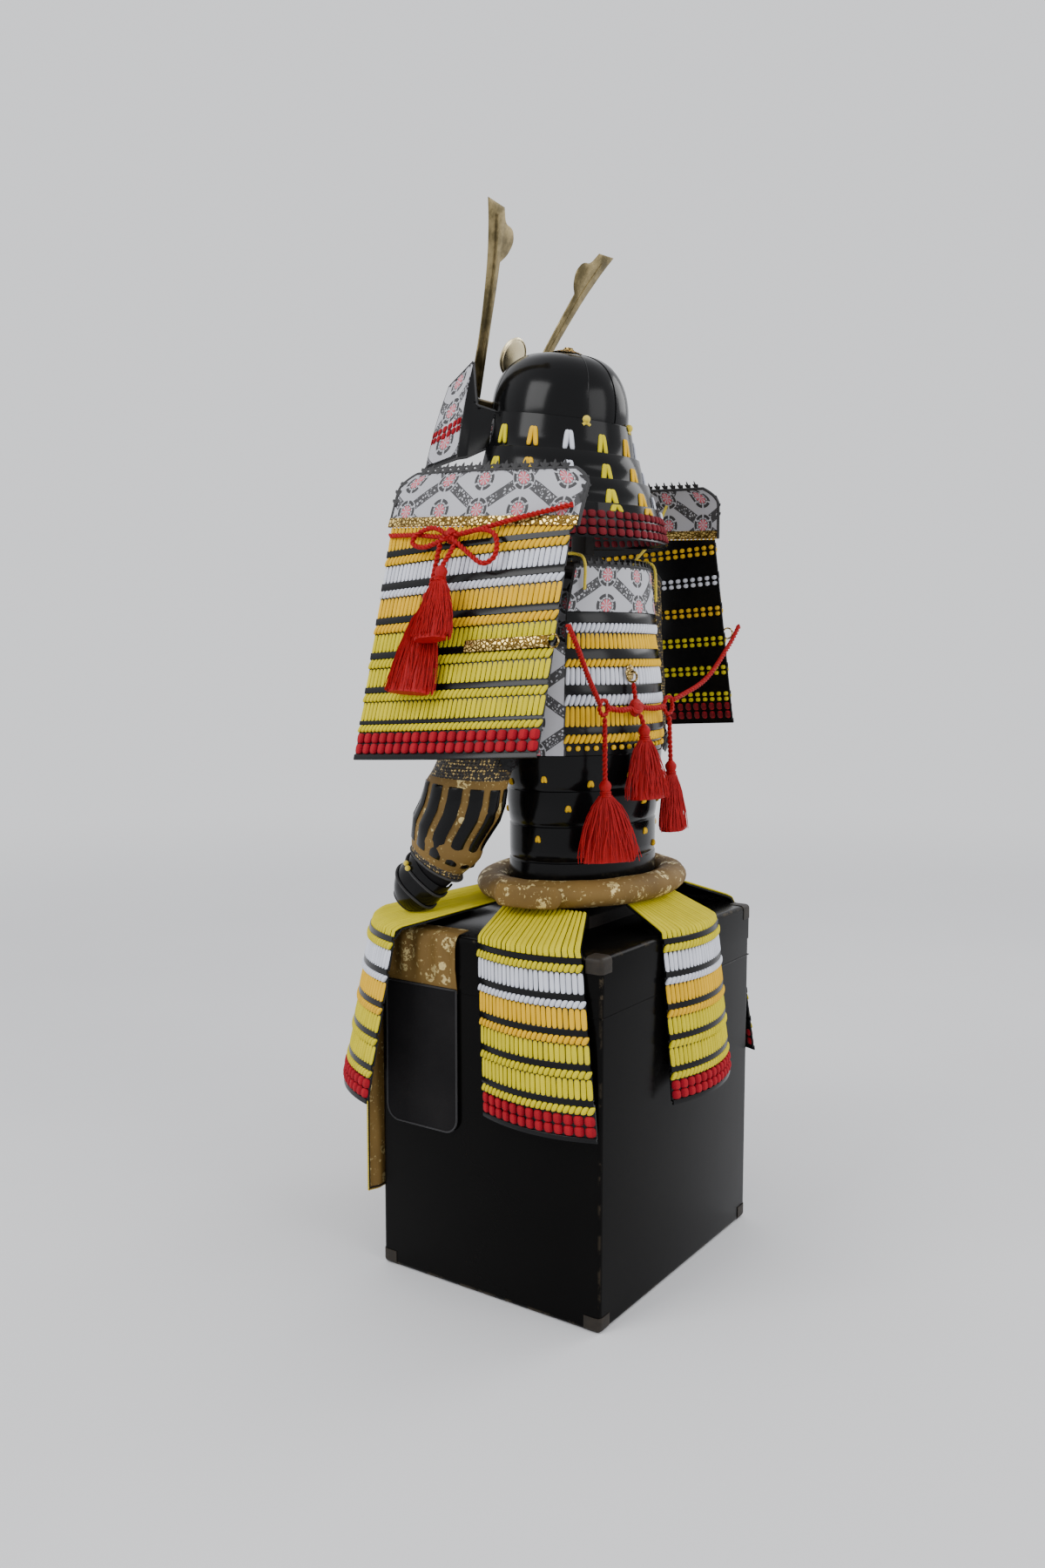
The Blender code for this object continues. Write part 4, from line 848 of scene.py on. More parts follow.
def picots(name, at, line, nodes):
    """Black spear-shaped stitches along an edge: line gives (across, down) points."""
    bm = bmesh.new()
    for u, s in line:
        spot = at(u, s, 0.0014)
        up = (at(u, s - 0.004, 0.0008) - spot).normalized()
        aside = (at(u + 0.01, s, 0.0008) - spot).normalized()
        out = up.cross(aside).normalized()
        for push, turn_by, long in ((0.0, 0.0, 0.0088), (0.0034, 0.9, 0.0044),
                                    (-0.0034, -0.9, 0.0044)):
            leaf = bmesh.ops.create_uvsphere(bm, u_segments=6, v_segments=4, radius=1.0)["verts"]
            for v in leaf:
                x, y, z = v.co
                tall = z * long
                wide = x * 0.0030 * (1.0 - 0.5 * z)
                turned_up = tall * math.cos(turn_by) - wide * math.sin(turn_by)
                turned_out = tall * math.sin(turn_by) + wide * math.cos(turn_by)
                v.co = spot + up * (turned_up + 0.0055) + aside * (turned_out + push) \
                    + out * y * 0.0010
    piece(name, bm, edge_cloth, nodes)


def binding(name, at, line, radius, nodes):
    bm = bmesh.new()
    sweep(bm, [at(u, s, out) for u, s, out in line], radius, 6)
    piece(name, bm, edge_cloth, nodes)


ROUNDED_TOP = (0.002, 0.004, 0.007, 0.010, 0.014, 0.018, 0.022, 0.026, 0.034)
for side, sign, shift, lift in GUARD_SIDES:
    frame_at = guard_frame(sign, shift, lift)

    def plate_at(u, s, out):
        inset = 0.006 + 0.026 * (1.0 - ramp(s, 0.0, 0.026)) ** 2
        return frame_at(u, s, out, GUARD_PLATE_WIDTH - 2 * inset, PLATE_ROLL)

    node = ["guard_plate_" + side]
    rows = [(s, 0.0) for s in (0.0, *ROUNDED_TOP, 0.045, 0.0560, 0.0660)]
    leather_board("guard_plate_" + side, plate_at, rows, 30, GUARD_PLATE_WIDTH, node)
    shell("guard_strip_" + side, plate_at,
          [(0.0662, 0.0), (0.0668, 0.0030), (0.0795, 0.0030), (0.0800, 0.0010)], 30, BOARD_WALL,
          gilt, node)
    falls = (*ROUNDED_TOP, 0.055, 0.0790)
    edge = [(-0.5, s, -0.0008) for s in reversed(falls)]
    edge += [(u / 20 - 0.5, 0.0, -0.0008) for u in range(21)]
    edge += [(0.5, s, -0.0008) for s in falls]
    binding("guard_edge_" + side, plate_at, edge, 0.0026, node)
    tips = [(u / 18 - 0.5, 0.0005) for u in range(1, 18)]
    tips += [(end, s) for end in (-0.494, 0.494) for s in (0.018, 0.032, 0.046)]
    picots("guard_picots_" + side, plate_at, tips, node)

# Guard fittings.
# An engraved gilt strip is riveted over the third braid's rear half, and its ring holds the cord
# that comes round from the knot on the back.
FITTING_S = 0.2495
for side, sign, shift, lift in GUARD_SIDES:
    frame_at = guard_frame(sign, shift, lift)

    def fitting_at(u, s, out):
        return frame_at(lerp(0.08, 0.485, u + 0.5), FITTING_S - 0.008 + s, 0.0062 + out,
                        GUARD_WIDTH, BOARD_ROLL)

    bm = coloured_mesh()
    board(bm, fitting_at, [(0.0, 0.0004), (0.0008, 0.0009), (0.0152, 0.0009), (0.016, 0.0004)], 16,
          0.0008)
    for u in (-0.46, -0.15, 0.15, 0.46):
        ball(bm, fitting_at(u, 0.008, 0.0012), 0.0016, 8, 6)
    centre = fitting_at(0.5, 0.008, 0.0) + ASIDE * 0.007
    sweep(bm, circle(centre, ASIDE, UP, 0.0085, 20), 0.0013, 6)
    piece("guard_fitting_" + side, bm, gilt, ["guard_fitting_" + side])

# Storage box.
# The armour's own box: wood under black lacquer, with a deep lid, worn brown along its edges and
# shod at the corners with thin blackened iron.
BOX_WIDTH = 0.462
BOX_DEPTH = 0.385
BOX_HEIGHT = 0.520
BOX_WALL = 0.010
LID_SKIRT = 0.055
BODY_INSET = 0.0012
SEAM = 0.0003
CORNER = 0.0070

box_lacquer = Finish("box_lacquer", IOR=1.14)
spot = box_lacquer.place()
px, py, pz = box_lacquer.parts(spot)
edge_x = (abs(px) - (BOX_WIDTH / 2 - 0.0045)).over(-0.002, 0.004)
edge_y = (abs(py) - (BOX_DEPTH / 2 - 0.0045)).over(-0.002, 0.004)
edge_top = (pz - (BOX_HEIGHT - 0.0045)).over(-0.002, 0.004)
edge_low = (0.0060 - pz).over(-0.002, 0.004)
edges = edge_x * edge_y + edge_top * edge_x + edge_top * edge_y + edge_low * (edge_x + edge_y)
rub = box_lacquer.noise(38.0, 6.0, spot, 0.7)
worn = (edges.of("MINIMUM", 1.0) * rub.over(0.50, 0.60))
dust = box_lacquer.noise(6.0, 5.0, spot)
base = box_lacquer.mix(dust, (0.0015, 0.0014, 0.0013), (0.0040, 0.0037, 0.0034))
box_lacquer.dye(worn * 0.75, base, (0.085, 0.066, 0.042))
box_lacquer.put("Roughness", dust * 0.18 + worn * 0.3 + 0.13)
box_lacquer.bump(box_lacquer.noise(30.0, 3.0), 0.0006, 0.12)


def block(bm, low, high):
    low, high = Vector(low), Vector(high)
    made = bmesh.ops.create_cube(bm, size=1.0)["verts"]
    bmesh.ops.scale(bm, verts=made, vec=high - low)
    bmesh.ops.translate(bm, verts=made, vec=(low + high) / 2)
    return made


def round_edges(bm, edges, radius, segments, clamp=True):
    bmesh.ops.bevel(bm, geom=edges, offset=radius, segments=segments, profile=0.5,
                    affect="EDGES", material=-1, clamp_overlap=clamp)


def rounded_box(bm, low, high, radius, segments=4):
    made = block(bm, low, high)
    round_edges(bm, list({e for v in made for e in v.link_edges}), radius, segments)


def open_case(name, half_x, half_y, low, high, mouth_down, node):
    """One half of the box: a block without one end, its edges rounded, given its wood's wall."""
    bm = bmesh.new()
    block(bm, (-half_x, -half_y, low), (half_x, half_y, high))
    mouth = [f for f in bm.faces if f.normal.z * (-1.0 if mouth_down else 1.0) > 0.9]
    bmesh.ops.delete(bm, geom=mouth, context="FACES_ONLY")
    round_edges(bm, [e for e in bm.edges if not e.is_boundary], CORNER, 4)
    bmesh.ops.solidify(bm, geom=list(bm.faces), thickness=BOX_WALL)
    made = piece(name, bm, box_lacquer, [node])
    soften = made.modifiers.new("worn_rim", "BEVEL")
    soften.width = 0.0012
    soften.segments = 2
    soften.limit_method = "ANGLE"
    soften.angle_limit = math.radians(60.0)


seat = BOX_HEIGHT - LID_SKIRT
open_case("box_body", BOX_WIDTH / 2 - BODY_INSET, BOX_DEPTH / 2 - BODY_INSET, 0.0, seat - SEAM,
          False, "box_body")
open_case("box_lid", BOX_WIDTH / 2, BOX_DEPTH / 2, seat, BOX_HEIGHT, True, "box_lid")

iron = Finish("blackened_iron", Metallic=0.0, Roughness=0.5, IOR=1.28)
iron.dye(iron.noise(90.0, 4.0), (0.010, 0.009, 0.008), (0.036, 0.028, 0.020))
iron.bump(iron.noise(300.0, 3.0), 0.0006, 0.5)
# A thin bead runs round the body 27 mm below the lid.
bm = bmesh.new()
bead_z = seat - 0.0270
half_x = BOX_WIDTH / 2 - BODY_INSET + 0.0007
half_y = BOX_DEPTH / 2 - BODY_INSET + 0.0007
rounded_box(bm, (-half_x, -half_y, bead_z - 0.0011), (half_x, half_y, bead_z + 0.0011), 0.0009, 2)
piece("box_bead", bm, box_lacquer, ["box_body"])
# Corner irons: three thin leaves at each corner of the lid's top and of the foot.
LEAF, LEAF_TALL = 0.026, 0.022
bm = bmesh.new()
for sx in (-1, 1):
    for sy in (-1, 1):
        for z, up in ((BOX_HEIGHT, -1), (0.0, 1)):
            grown = 0.0006 if up < 0 else -0.0005
            x = sx * (BOX_WIDTH / 2 + grown)
            y = sy * (BOX_DEPTH / 2 + grown)
            near = (x, y, z + (0.0006 if up < 0 else 0.0))
            far = (x - sx * LEAF, y - sy * LEAF, z + up * LEAF_TALL)
            made = block(bm, list(map(min, near, far)), list(map(max, near, far)))
            inner = [f for v in made for f in v.link_faces
                     if f.calc_center_median().x * sx < (abs(x) - LEAF * 0.9)
                     or f.calc_center_median().y * sy < (abs(y) - LEAF * 0.9)
                     or (f.calc_center_median().z - z) * up > LEAF_TALL * 0.9]
            bmesh.ops.delete(bm, geom=list(set(inner)), context="FACES_ONLY")
round_edges(bm, [e for e in bm.edges if not e.is_boundary], CORNER, 4)
bmesh.ops.solidify(bm, geom=list(bm.faces), thickness=0.0012)
piece("box_corner_irons", bm, iron, ["box_lid"])

# Stand.
# A plain dark wooden cross that holds the armour up inside: foot, post, shoulder bar and a head
# block under a cloth pad. Little of it shows.
dark_wood = Finish("dark_wood", Roughness=0.6)
streak = dark_wood.node("ShaderNodeMapping", None, {"Vector": dark_wood.place(),
                                                    "Scale": (1.0, 1.0, 0.08)})
grain = dark_wood.noise(160.0, 5.0, streak)
dark_wood.dye(grain, (0.006, 0.005, 0.004), (0.022, 0.015, 0.010))
dark_wood.bump(grain, 0.0006, 0.4)
stand_cloth = Finish("pad_cloth", Roughness=0.9)
stand_cloth.dye(stand_cloth.noise(900.0), (0.008, 0.008, 0.009), (0.022, 0.021, 0.020))
stand_cloth.bump(stand_cloth.noise(900.0), 0.0005, 0.6)
for node in ("stand_foot", "stand_post", "stand_bar"):
    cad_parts[node].data.materials.clear()
    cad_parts[node].data.materials.append(dark_wood.material)
HEAD_Y = -0.027
bm = bmesh.new()
rounded_box(bm, (-0.013, 0.0030, 1.0553), (0.013, 0.0290, 1.3030), 0.003)
piece("stand_neck", bm, dark_wood, ["stand_head"])
bm = bmesh.new()
made = bmesh.ops.create_uvsphere(bm, u_segments=28, v_segments=16, radius=1.0)["verts"]
bmesh.ops.scale(bm, verts=made, vec=(0.052, 0.060, 0.030))
bmesh.ops.translate(bm, verts=made, vec=(0.0, HEAD_Y + 0.012, 1.3247))
pad = piece("stand_pad", bm, stand_cloth, ["stand_head"])

# Cuirass.
# An iron shell of black lacquered hoops at the waist, a printed leather front, and a laced back
# under a printed leather top piece. Two straps carry it over the shoulders.
TORSO_Y = 0.020
WAIST_BOTTOM = 0.568
WAIST_TOP = 0.776
BACK_TOP = 0.979
COLLAR_TOP = 1.045
CHEST_TOP = 1.020
ARMHOLE_Z = 0.930
SHELL_WALL = 0.0025
BACK_START = 28.0
BACK_END = 152.0
TORSO_SECTIONS = ((0.560, 0.137, 0.096), (0.660, 0.136, 0.095), (0.720, 0.141, 0.099),
                  (0.790, 0.149, 0.104), (0.875, 0.145, 0.101), (0.960, 0.134, 0.093),
                  (1.045, 0.124, 0.086))


def table_at(table, key):
    """Smoothly interpolate a table's rows."""
    rows = sorted(table)
    if key <= rows[0][0]:
        return rows[0][1:]
    for low, high in zip(rows, rows[1:]):
        if key <= high[0]:
            t = (key - low[0]) / (high[0] - low[0])
            t = t * t * (3.0 - 2.0 * t)
            return tuple(lerp(a, b, t) for a, b in zip(low[1:], high[1:]))
    return rows[-1][1:]


def torso(theta, z, out=0.0):
    half_width, half_depth = table_at(TORSO_SECTIONS, z)
    angle = math.radians(theta)
    return Vector(((half_width + out) * math.cos(angle),
                   TORSO_Y + (half_depth + out) * math.sin(angle), z))


hoop_lacquer = Finish("hoop_lacquer", IOR=1.25)
haze = hoop_lacquer.noise(9.0, 4.0)
hoop_lacquer.dye(haze, (0.0016, 0.0016, 0.0018), (0.0040, 0.0040, 0.0044))
hoop_lacquer.put("Roughness", haze * 0.14 + 0.10)
hoop_lacquer.bump(hoop_lacquer.noise(26.0, 2.0), 0.0010, 0.12)

hoops = 4
hoop_height = (WAIST_TOP - WAIST_BOTTOM) / hoops
rows = []
for i in range(hoops):
    high = WAIST_TOP - i * hoop_height
    low = high - hoop_height
    rows += [(high, 0.0012), (high - 0.0006, 0.0022), (high - 0.018, 0.0026),
             (low + 0.016, 0.0022), (low + 0.0042, 0.0014), (low + 0.0030, 0.0004),
             (low + 0.0008, 0.0004)]
rows.append((WAIST_BOTTOM, 0.0004))
shell("cuirass_waist", lambda u, s, out: torso(u * 360.0, s, out), rows, 96, SHELL_WALL,
      hoop_lacquer, ["cuirass_waist"], wrap=True)


def waist_at(u, s, out):
    return torso(90.0 - u * 360.0, WAIST_TOP - s, out)


WAIST_KNOTS = ((46.0, 0.735), (62.0, 0.695), (76.0, 0.746), (92.0, 0.704), (106.0, 0.748),
               (122.0, 0.700), (58.0, 0.645), (78.0, 0.628), (97.0, 0.657), (114.0, 0.634),
               (134.0, 0.742), (138.0, 0.660), (30.0, 0.700), (12.0, 0.742), (5.0, 0.655),
               (-25.0, 0.735), (-50.0, 0.690), (-75.0, 0.735), (-105.0, 0.735), (-130.0, 0.690),
               (-155.0, 0.735), (170.0, 0.655), (152.0, 0.700))
bm = coloured_mesh()
for theta, z in WAIST_KNOTS:
    u, s = (90.0 - theta) / 360.0, WAIST_TOP - z
    for k in (-1, 1):
        soft_form(bm, waist_at, u + k * 0.0022, s, 0.0026, 0.0042, 0.0050, 0.0034,
                  tint(ORANGE, 0.12), 0.9, 2.4, 0.35 * k)
piece("waist_knots", bm, lacing, ["cuirass_waist"], sharp=CORD_SMOOTH)


def chest_edge(theta):
    rise = ramp(-math.sin(math.radians(theta)), 0.42, 0.45)
    return lerp(ARMHOLE_Z, CHEST_TOP, rise * rise * (3.0 - 2.0 * rise))


FRONT_START = BACK_END - 360.0 + 0.2
FRONT_END = BACK_START - 0.2


def front_at(u, s, out):
    theta = lerp(FRONT_START, FRONT_END, u + 0.5)
    return torso(theta, lerp(chest_edge(theta), WAIST_TOP + SEAM, s), out)


bm = coloured_mesh()
board(bm, front_at, [(i / 14, 0.0020 if i else 0.0012) for i in range(15)], 84, SHELL_WALL)
marks = bm.verts.layers.float_vector["weave"]
for v in bm.verts:
    v[marks] = (v[marks].x * 0.50, -v.co.z, 0.0)
piece("cuirass_front", bm, leather, ["cuirass_front"])
binding("cuirass_front_edge", front_at, [(-0.5, 1.0 - i / 8, 0.0) for i in range(8)]
        + [(i / 60 - 0.5, 0.0, 0.0) for i in range(61)] + [(0.5, i / 8, 0.0) for i in range(1, 9)],
        0.0024, ["cuirass_front"])

BACK_TIERS = (
    ("plate", 0.015), ("braid", 0.016, WHITE), ("lacing", 0.020, ORANGE),
    ("plate", 0.015), ("braid", 0.013, ORANGE), ("lacing", 0.023, WHITE),
    ("plate", 0.014), ("braid", 0.018, WHITE), ("lacing", 0.027, ORANGE),
    ("plate", 0.011), ("braid", 0.015, ORANGE), ("dots", 0.0157, ORANGE),
)
BACK_FALL = 0.2027
BACK_ARC = 0.272
COLLAR_ARC = 0.262


def back_at(u, s, out):
    return torso(lerp(BACK_START, BACK_END, u + 0.5), BACK_TOP - s, out)


laced_board("cuirass_back", back_at, BACK_TIERS, 0.0, lambda s: BACK_ARC, 44, 20, ["cuirass_back"])
for k, end in enumerate((-0.5, 0.5)):
    binding("cuirass_back_edge_%d" % (k + 1), back_at,
            [(end, BACK_FALL * i / 12, -0.0005) for i in range(13)], 0.0022, ["cuirass_back"])


def collar_at(u, s, out):
    z = COLLAR_TOP - s
    inset = 6.0 * (z - BACK_TOP) / (COLLAR_TOP - BACK_TOP)
    return torso(lerp(BACK_START + inset, BACK_END - inset, u + 0.5), z, out)


collar_height = COLLAR_TOP - BACK_TOP - SEAM
leather_board("cuirass_back_top", collar_at,
              [(collar_height * i / 8, 0.0012 if i == 0 else 0.0025) for i in range(9)], 40,
              COLLAR_ARC, ["cuirass_back_top"])
binding("cuirass_back_top_edge", collar_at,
        [(-0.5, collar_height * i / 5, 0.0005) for i in range(5, 0, -1)]
        + [(i / 30 - 0.5, 0.0, 0.0005) for i in range(31)]
        + [(0.5, collar_height * i / 5, 0.0005) for i in range(1, 6)], 0.0024,
        ["cuirass_back_top"])
picots("cuirass_back_picots", collar_at, [(u / 18 - 0.5, 0.0025) for u in range(1, 18)],
       ["cuirass_back_top"])

# Shoulder straps.
# Stiff straps under plain dark cloth arch from the back's top to the front's. Little of them
# shows between the guards and the helmet.
STRAP_X = 0.082
STRAP_WIDTH = 0.036
STRAP_RISE = 0.024
SIDES = (("left", 1.0), ("right", -1.0))
for side, sign in SIDES:
    def strap_at(u, s, out):
        x = STRAP_X + u * STRAP_WIDTH
        angle = s * math.pi
        half_width, half_depth = table_at(TORSO_SECTIONS, COLLAR_TOP)
        reach = half_depth * math.sqrt(1.0 - (x / half_width) ** 2)
        base = lerp(COLLAR_TOP, CHEST_TOP, (1.0 - math.cos(angle)) / 2) + 0.0008
        return Vector((sign * x, TORSO_Y + (reach + out) * math.cos(angle),
                       base + (STRAP_RISE + out) * math.sin(angle)))

    shell("shoulder_strap_" + side, strap_at, even(0.0, 1.0, 24, 0.0012), 6, 0.0024, stand_cloth,
          ["shoulder_strap_" + side])

# Belt.
# A stuffed roll of gold brocade lies round the waist and laps over itself on the left. Gold
# thread makes rounded emblems and sprays on a brown ground.
brocade = Finish("gold_brocade", IOR=1.3)
place = brocade.place()
spray = brocade.node("ShaderNodeTexVoronoi", {"feature": "F1"}, {"Vector": place, "Scale": 34.0})
curl = brocade.noise(150.0, 4.0, place, 0.65)
thread = ((spray < 0.36) * curl.over(0.47, 0.55)).of("MAXIMUM", curl.over(0.60, 0.66) * 0.7)
ribs = (brocade.parts(place)[2] * 5200.0).of("SINE")
cloudy = brocade.noise(12.0, 4.0, place)
ground = brocade.mix(cloudy, (0.070, 0.038, 0.008), (0.235, 0.140, 0.036))
brocade.dye(thread, ground, (0.60, 0.47, 0.20))
brocade.put("Roughness", 0.62 - thread * 0.25)
brocade.put("Metallic", thread * 0.45)
brocade.bump(thread * 0.7 + ribs * 0.08 + brocade.noise(800.0) * 0.2, 0.0008, 0.7)

BELT_HALF_WIDTH = 0.1645
BELT_HALF_DEPTH = 0.1225
BELT_RADIUS = 0.024
BELT_HALF_TALL = 0.0195
BELT_Z = 0.5810


def belt_roll(name, half_width, half_depth, radius, flat, start, sweep_by, columns, node):
    """A roll of cloth: a grid rolled round the belt's line, with creases pressed across it."""
    bm = coloured_mesh()
    sides = 20
    full = sweep_by >= 360.0
    made = bmesh.ops.create_grid(bm, x_segments=columns, y_segments=sides, size=0.5)["verts"]
    creases = [(chance.uniform(0, 360), chance.uniform(2.0, 6.0), chance.uniform(0.3, 1.0),
                chance.uniform(-0.5, 0.5)) for _ in range(26)]
    for v in made:
        theta = start + sweep_by * (v.co.x + 0.5)
        turn = (v.co.y + 0.5) * math.tau
        pinch = 0.0
        for at_theta, wide, deep, lean in creases:
            gap = (theta + lean * 10.0 * math.sin(turn) - at_theta + 180.0) % 360.0 - 180.0
            pinch += deep * math.exp(-(gap / wide) ** 2)
        size = radius * (1.0 - 0.045 * min(1.6, pinch) + 0.012 * math.sin(theta * 0.21))
        end = min(v.co.x + 0.5, 0.5 - v.co.x) if not full else 1.0
        size *= math.sqrt(max(0.02, min(1.0, end * 12.0))) if not full else 1.0
        angle = math.radians(theta)
        centre = Vector((half_width * math.cos(angle), TORSO_Y + half_depth * math.sin(angle),
                         BELT_Z))
        way = Vector((math.cos(angle), math.sin(angle), 0.0))
        v.co = centre + way * size * flat * math.cos(turn) + UP * size * math.sin(turn)
    bmesh.ops.remove_doubles(bm, verts=made, dist=0.00003)
    if not full:
        edges = [e for e in bm.edges if e.is_boundary]
        bmesh.ops.holes_fill(bm, edges=edges, sides=sides + 2)
    made = piece(name, bm, brocade, [node], sharp=CORD_SMOOTH)


belt_roll("belt", BELT_HALF_WIDTH, BELT_HALF_DEPTH, BELT_HALF_TALL,
          BELT_RADIUS / BELT_HALF_TALL, 0.0, 360.0, 180, "belt")
LAP = BELT_RADIUS + 0.0055
belt_roll("belt_end", BELT_HALF_WIDTH + LAP, BELT_HALF_DEPTH + LAP, 0.0165, 0.28, -12.0, 40.0, 32,
          "belt_end")

# Laced skirt.
# Five panels hang from under the belt. Long lemon cords fan out over the lid's edge to five
# laced boards, whose hem is two rows of red knots on a black edge.
SKIRT_WIDTH = 0.172
SKIRT_HEM_WIDTH = 0.186
SKIRT_FAN_WIDTH = 0.138
SKIRT_BULGE = 0.020
FAN_ROOT_Z = 0.5601
SKIRT_PANELS = (
    ("left", 0.0, 0.050, 0.078, 0.104, 0.150, 0.2350, 0.014),
    ("right", 180.0, -0.050, -0.078, -0.104, 0.150, 0.2350, 0.014),
    ("back", 90.0, 0.010, 0.014, 0.034, 0.130, 0.1965, 0.014),
    ("front_left", -42.0, 0.000, 0.006, 0.006, 0.132, 0.2900, 0.052),
    ("front_right", -138.0, 0.000, -0.006, -0.006, 0.132, 0.2900, 0.052),
)
SKIRT_TIERS = (
    ("plate", 0.008), ("braid", 0.013, LEMON), ("lacing", 0.026, WHITE),
    ("plate", 0.009), ("braid", 0.012, WHITE), ("lacing", 0.026, ORANGE),
    ("plate", 0.009), ("braid", 0.013, ORANGE), ("lacing", 0.023, LEMON),
    ("plate", 0.009), ("braid", 0.013, LEMON), ("lacing", 0.025, LEMON),
    ("plate", 0.009), ("braid", 0.013, LEMON),
    ("knots", 0.014, KNOT_RED), ("knots", 0.014, KNOT_RED), ("plate", 0.007),
)
FAN_CORDS = 20
for name, facing, root_shift, lid_shift, hem_shift, root, edge, lean in SKIRT_PANELS:
    angle = math.radians(facing)
    normal = Vector((math.cos(angle), math.sin(angle), 0.0))
    across_way = Vector((-math.sin(angle), math.cos(angle), 0.0))
    hang = edge + SKIRT_BULGE
    bend = Vector((hang - 0.014, BOX_HEIGHT + 0.0115))
    turn = Vector((hang, BOX_HEIGHT - 0.0040))
    path = [Vector((root, FAN_ROOT_Z)), bend, (bend + turn) / 2 + Vector((0.003, 0.003)), turn,
            Vector((hang + lean, BOX_HEIGHT - 0.30))]
    fan = (bend - path[0]).length + 0.020
    panel_end = fan + sum(tier[1] for tier in SKIRT_TIERS)

    def skirt_at(u, s, out):
        point, way = blended_frame(path, s, 0.012)
        share = ramp(s, 0.0, fan)
        drop = ramp(s, fan, panel_end - fan)
        width = lerp(lerp(SKIRT_FAN_WIDTH, SKIRT_WIDTH, share), SKIRT_HEM_WIDTH, drop)
        shift = lerp(lerp(root_shift, lid_shift, share), hem_shift, drop)
        droop = SKIRT_BULGE * share * 4.0 * u * u
        return (normal * (point.x + way.x * out - droop) + across_way * (u * width + shift)
                + UP * (point.y + way.y * out))

    def fan_cords(bm):
        for i in range(FAN_CORDS):
            u = (i + 0.5) / FAN_CORDS - 0.5
            half = 0.5 / FAN_CORDS * chance.uniform(0.88, 0.99)
            soft_form(bm, skirt_at, u + chance.uniform(-0.06, 0.06) / FAN_CORDS,
                      fan / 2 + 0.0012, 0.0004, half, fan / 2 + 0.0010,
                      0.0016 + chance.uniform(-0.0002, 0.0003), tint(LEMON, 0.05), 0.155, 9.0,
                      0.0, 0.0, 8, 26)

    laced_board("skirt_" + name, skirt_at, SKIRT_TIERS, fan,
                lambda s: lerp(SKIRT_WIDTH, SKIRT_HEM_WIDTH, 0.5), 14, 13, ["skirt_" + name],
                even(0.0, fan, 10, -0.0012), fan_cords)

# Sleeves.
# Cloth tubes faced with fine black mail that holds gold flecks. Over the forearm the cloth is
# brocade, and twelve narrow lacquered splints are set in it.
SLEEVE_SECTIONS = (
    (1.040, 0.172, 0.004, 0.034, 0.048), (0.950, 0.182, 0.000, 0.038, 0.050),
    (0.860, 0.203, -0.010, 0.042, 0.054), (0.790, 0.214, -0.020, 0.046, 0.060),
    (0.720, 0.214, -0.046, 0.046, 0.061), (0.660, 0.209, -0.080, 0.040, 0.054),
    (0.618, 0.205, -0.104, 0.030, 0.040),
)
SLEEVE_ROUND = 0.30
SLEEVE_TOP = 1.040
SLEEVE_FALL = 0.422
SPLINTS = 12
ELBOW_TURN, ELBOW_Z = 0.22, 0.778
WRIST_SLANT = 0.563
SHOULDER_SLANT = 0.60
mail = Finish("gold_flecked_mail")
ring_x, ring_y, _ = mail.parts(mail.mark("weave"))
links = abs((ring_x * 700.0).of("SINE") * (ring_y * 700.0).of("SINE"))
fleck = (mail.noise(210.0, 2.0) > 0.54) * links.over(0.15, 0.6)
wear = mail.noise(16.0, 4.0)
mail.dye(fleck, mail.mix(wear, (0.012, 0.011, 0.012), (0.050, 0.042, 0.034)),
         (0.56, 0.40, 0.15))
mail.put("Metallic", fleck * 0.5 + 0.35)
mail.put("Roughness", 0.62 - fleck * 0.25)
mail.bump(links, 0.0016, 0.9)
lining = Finish("dark_cloth", Roughness=0.85, IOR=1.15)
threads = lining.noise(1100.0, 2.0)
lining.dye(lining.noise(14.0, 4.0), (0.005, 0.005, 0.006), (0.016, 0.015, 0.015))
lining.bump(threads, 0.0006, 0.6)
HAND_START = Vector((0.2048, -0.1036, 0.6174))
HAND_TIP = Vector((0.2025, -0.1665, 0.5565))


def petal_disc(bm, place, radius, lift, tall, petals, deep, across):
    """A low domed disc with a petalled edge."""
    made = bmesh.ops.create_uvsphere(bm, u_segments=across, v_segments=8, radius=1.0)["verts"]
    for v in made:
        wide = radius * (1.0 + deep * math.cos(math.atan2(v.co.y, v.co.x) * petals))
        v.co = Vector((v.co.x * wide, v.co.y * wide, v.co.z * tall + lift))
    bmesh.ops.transform(bm, verts=made, matrix=place)


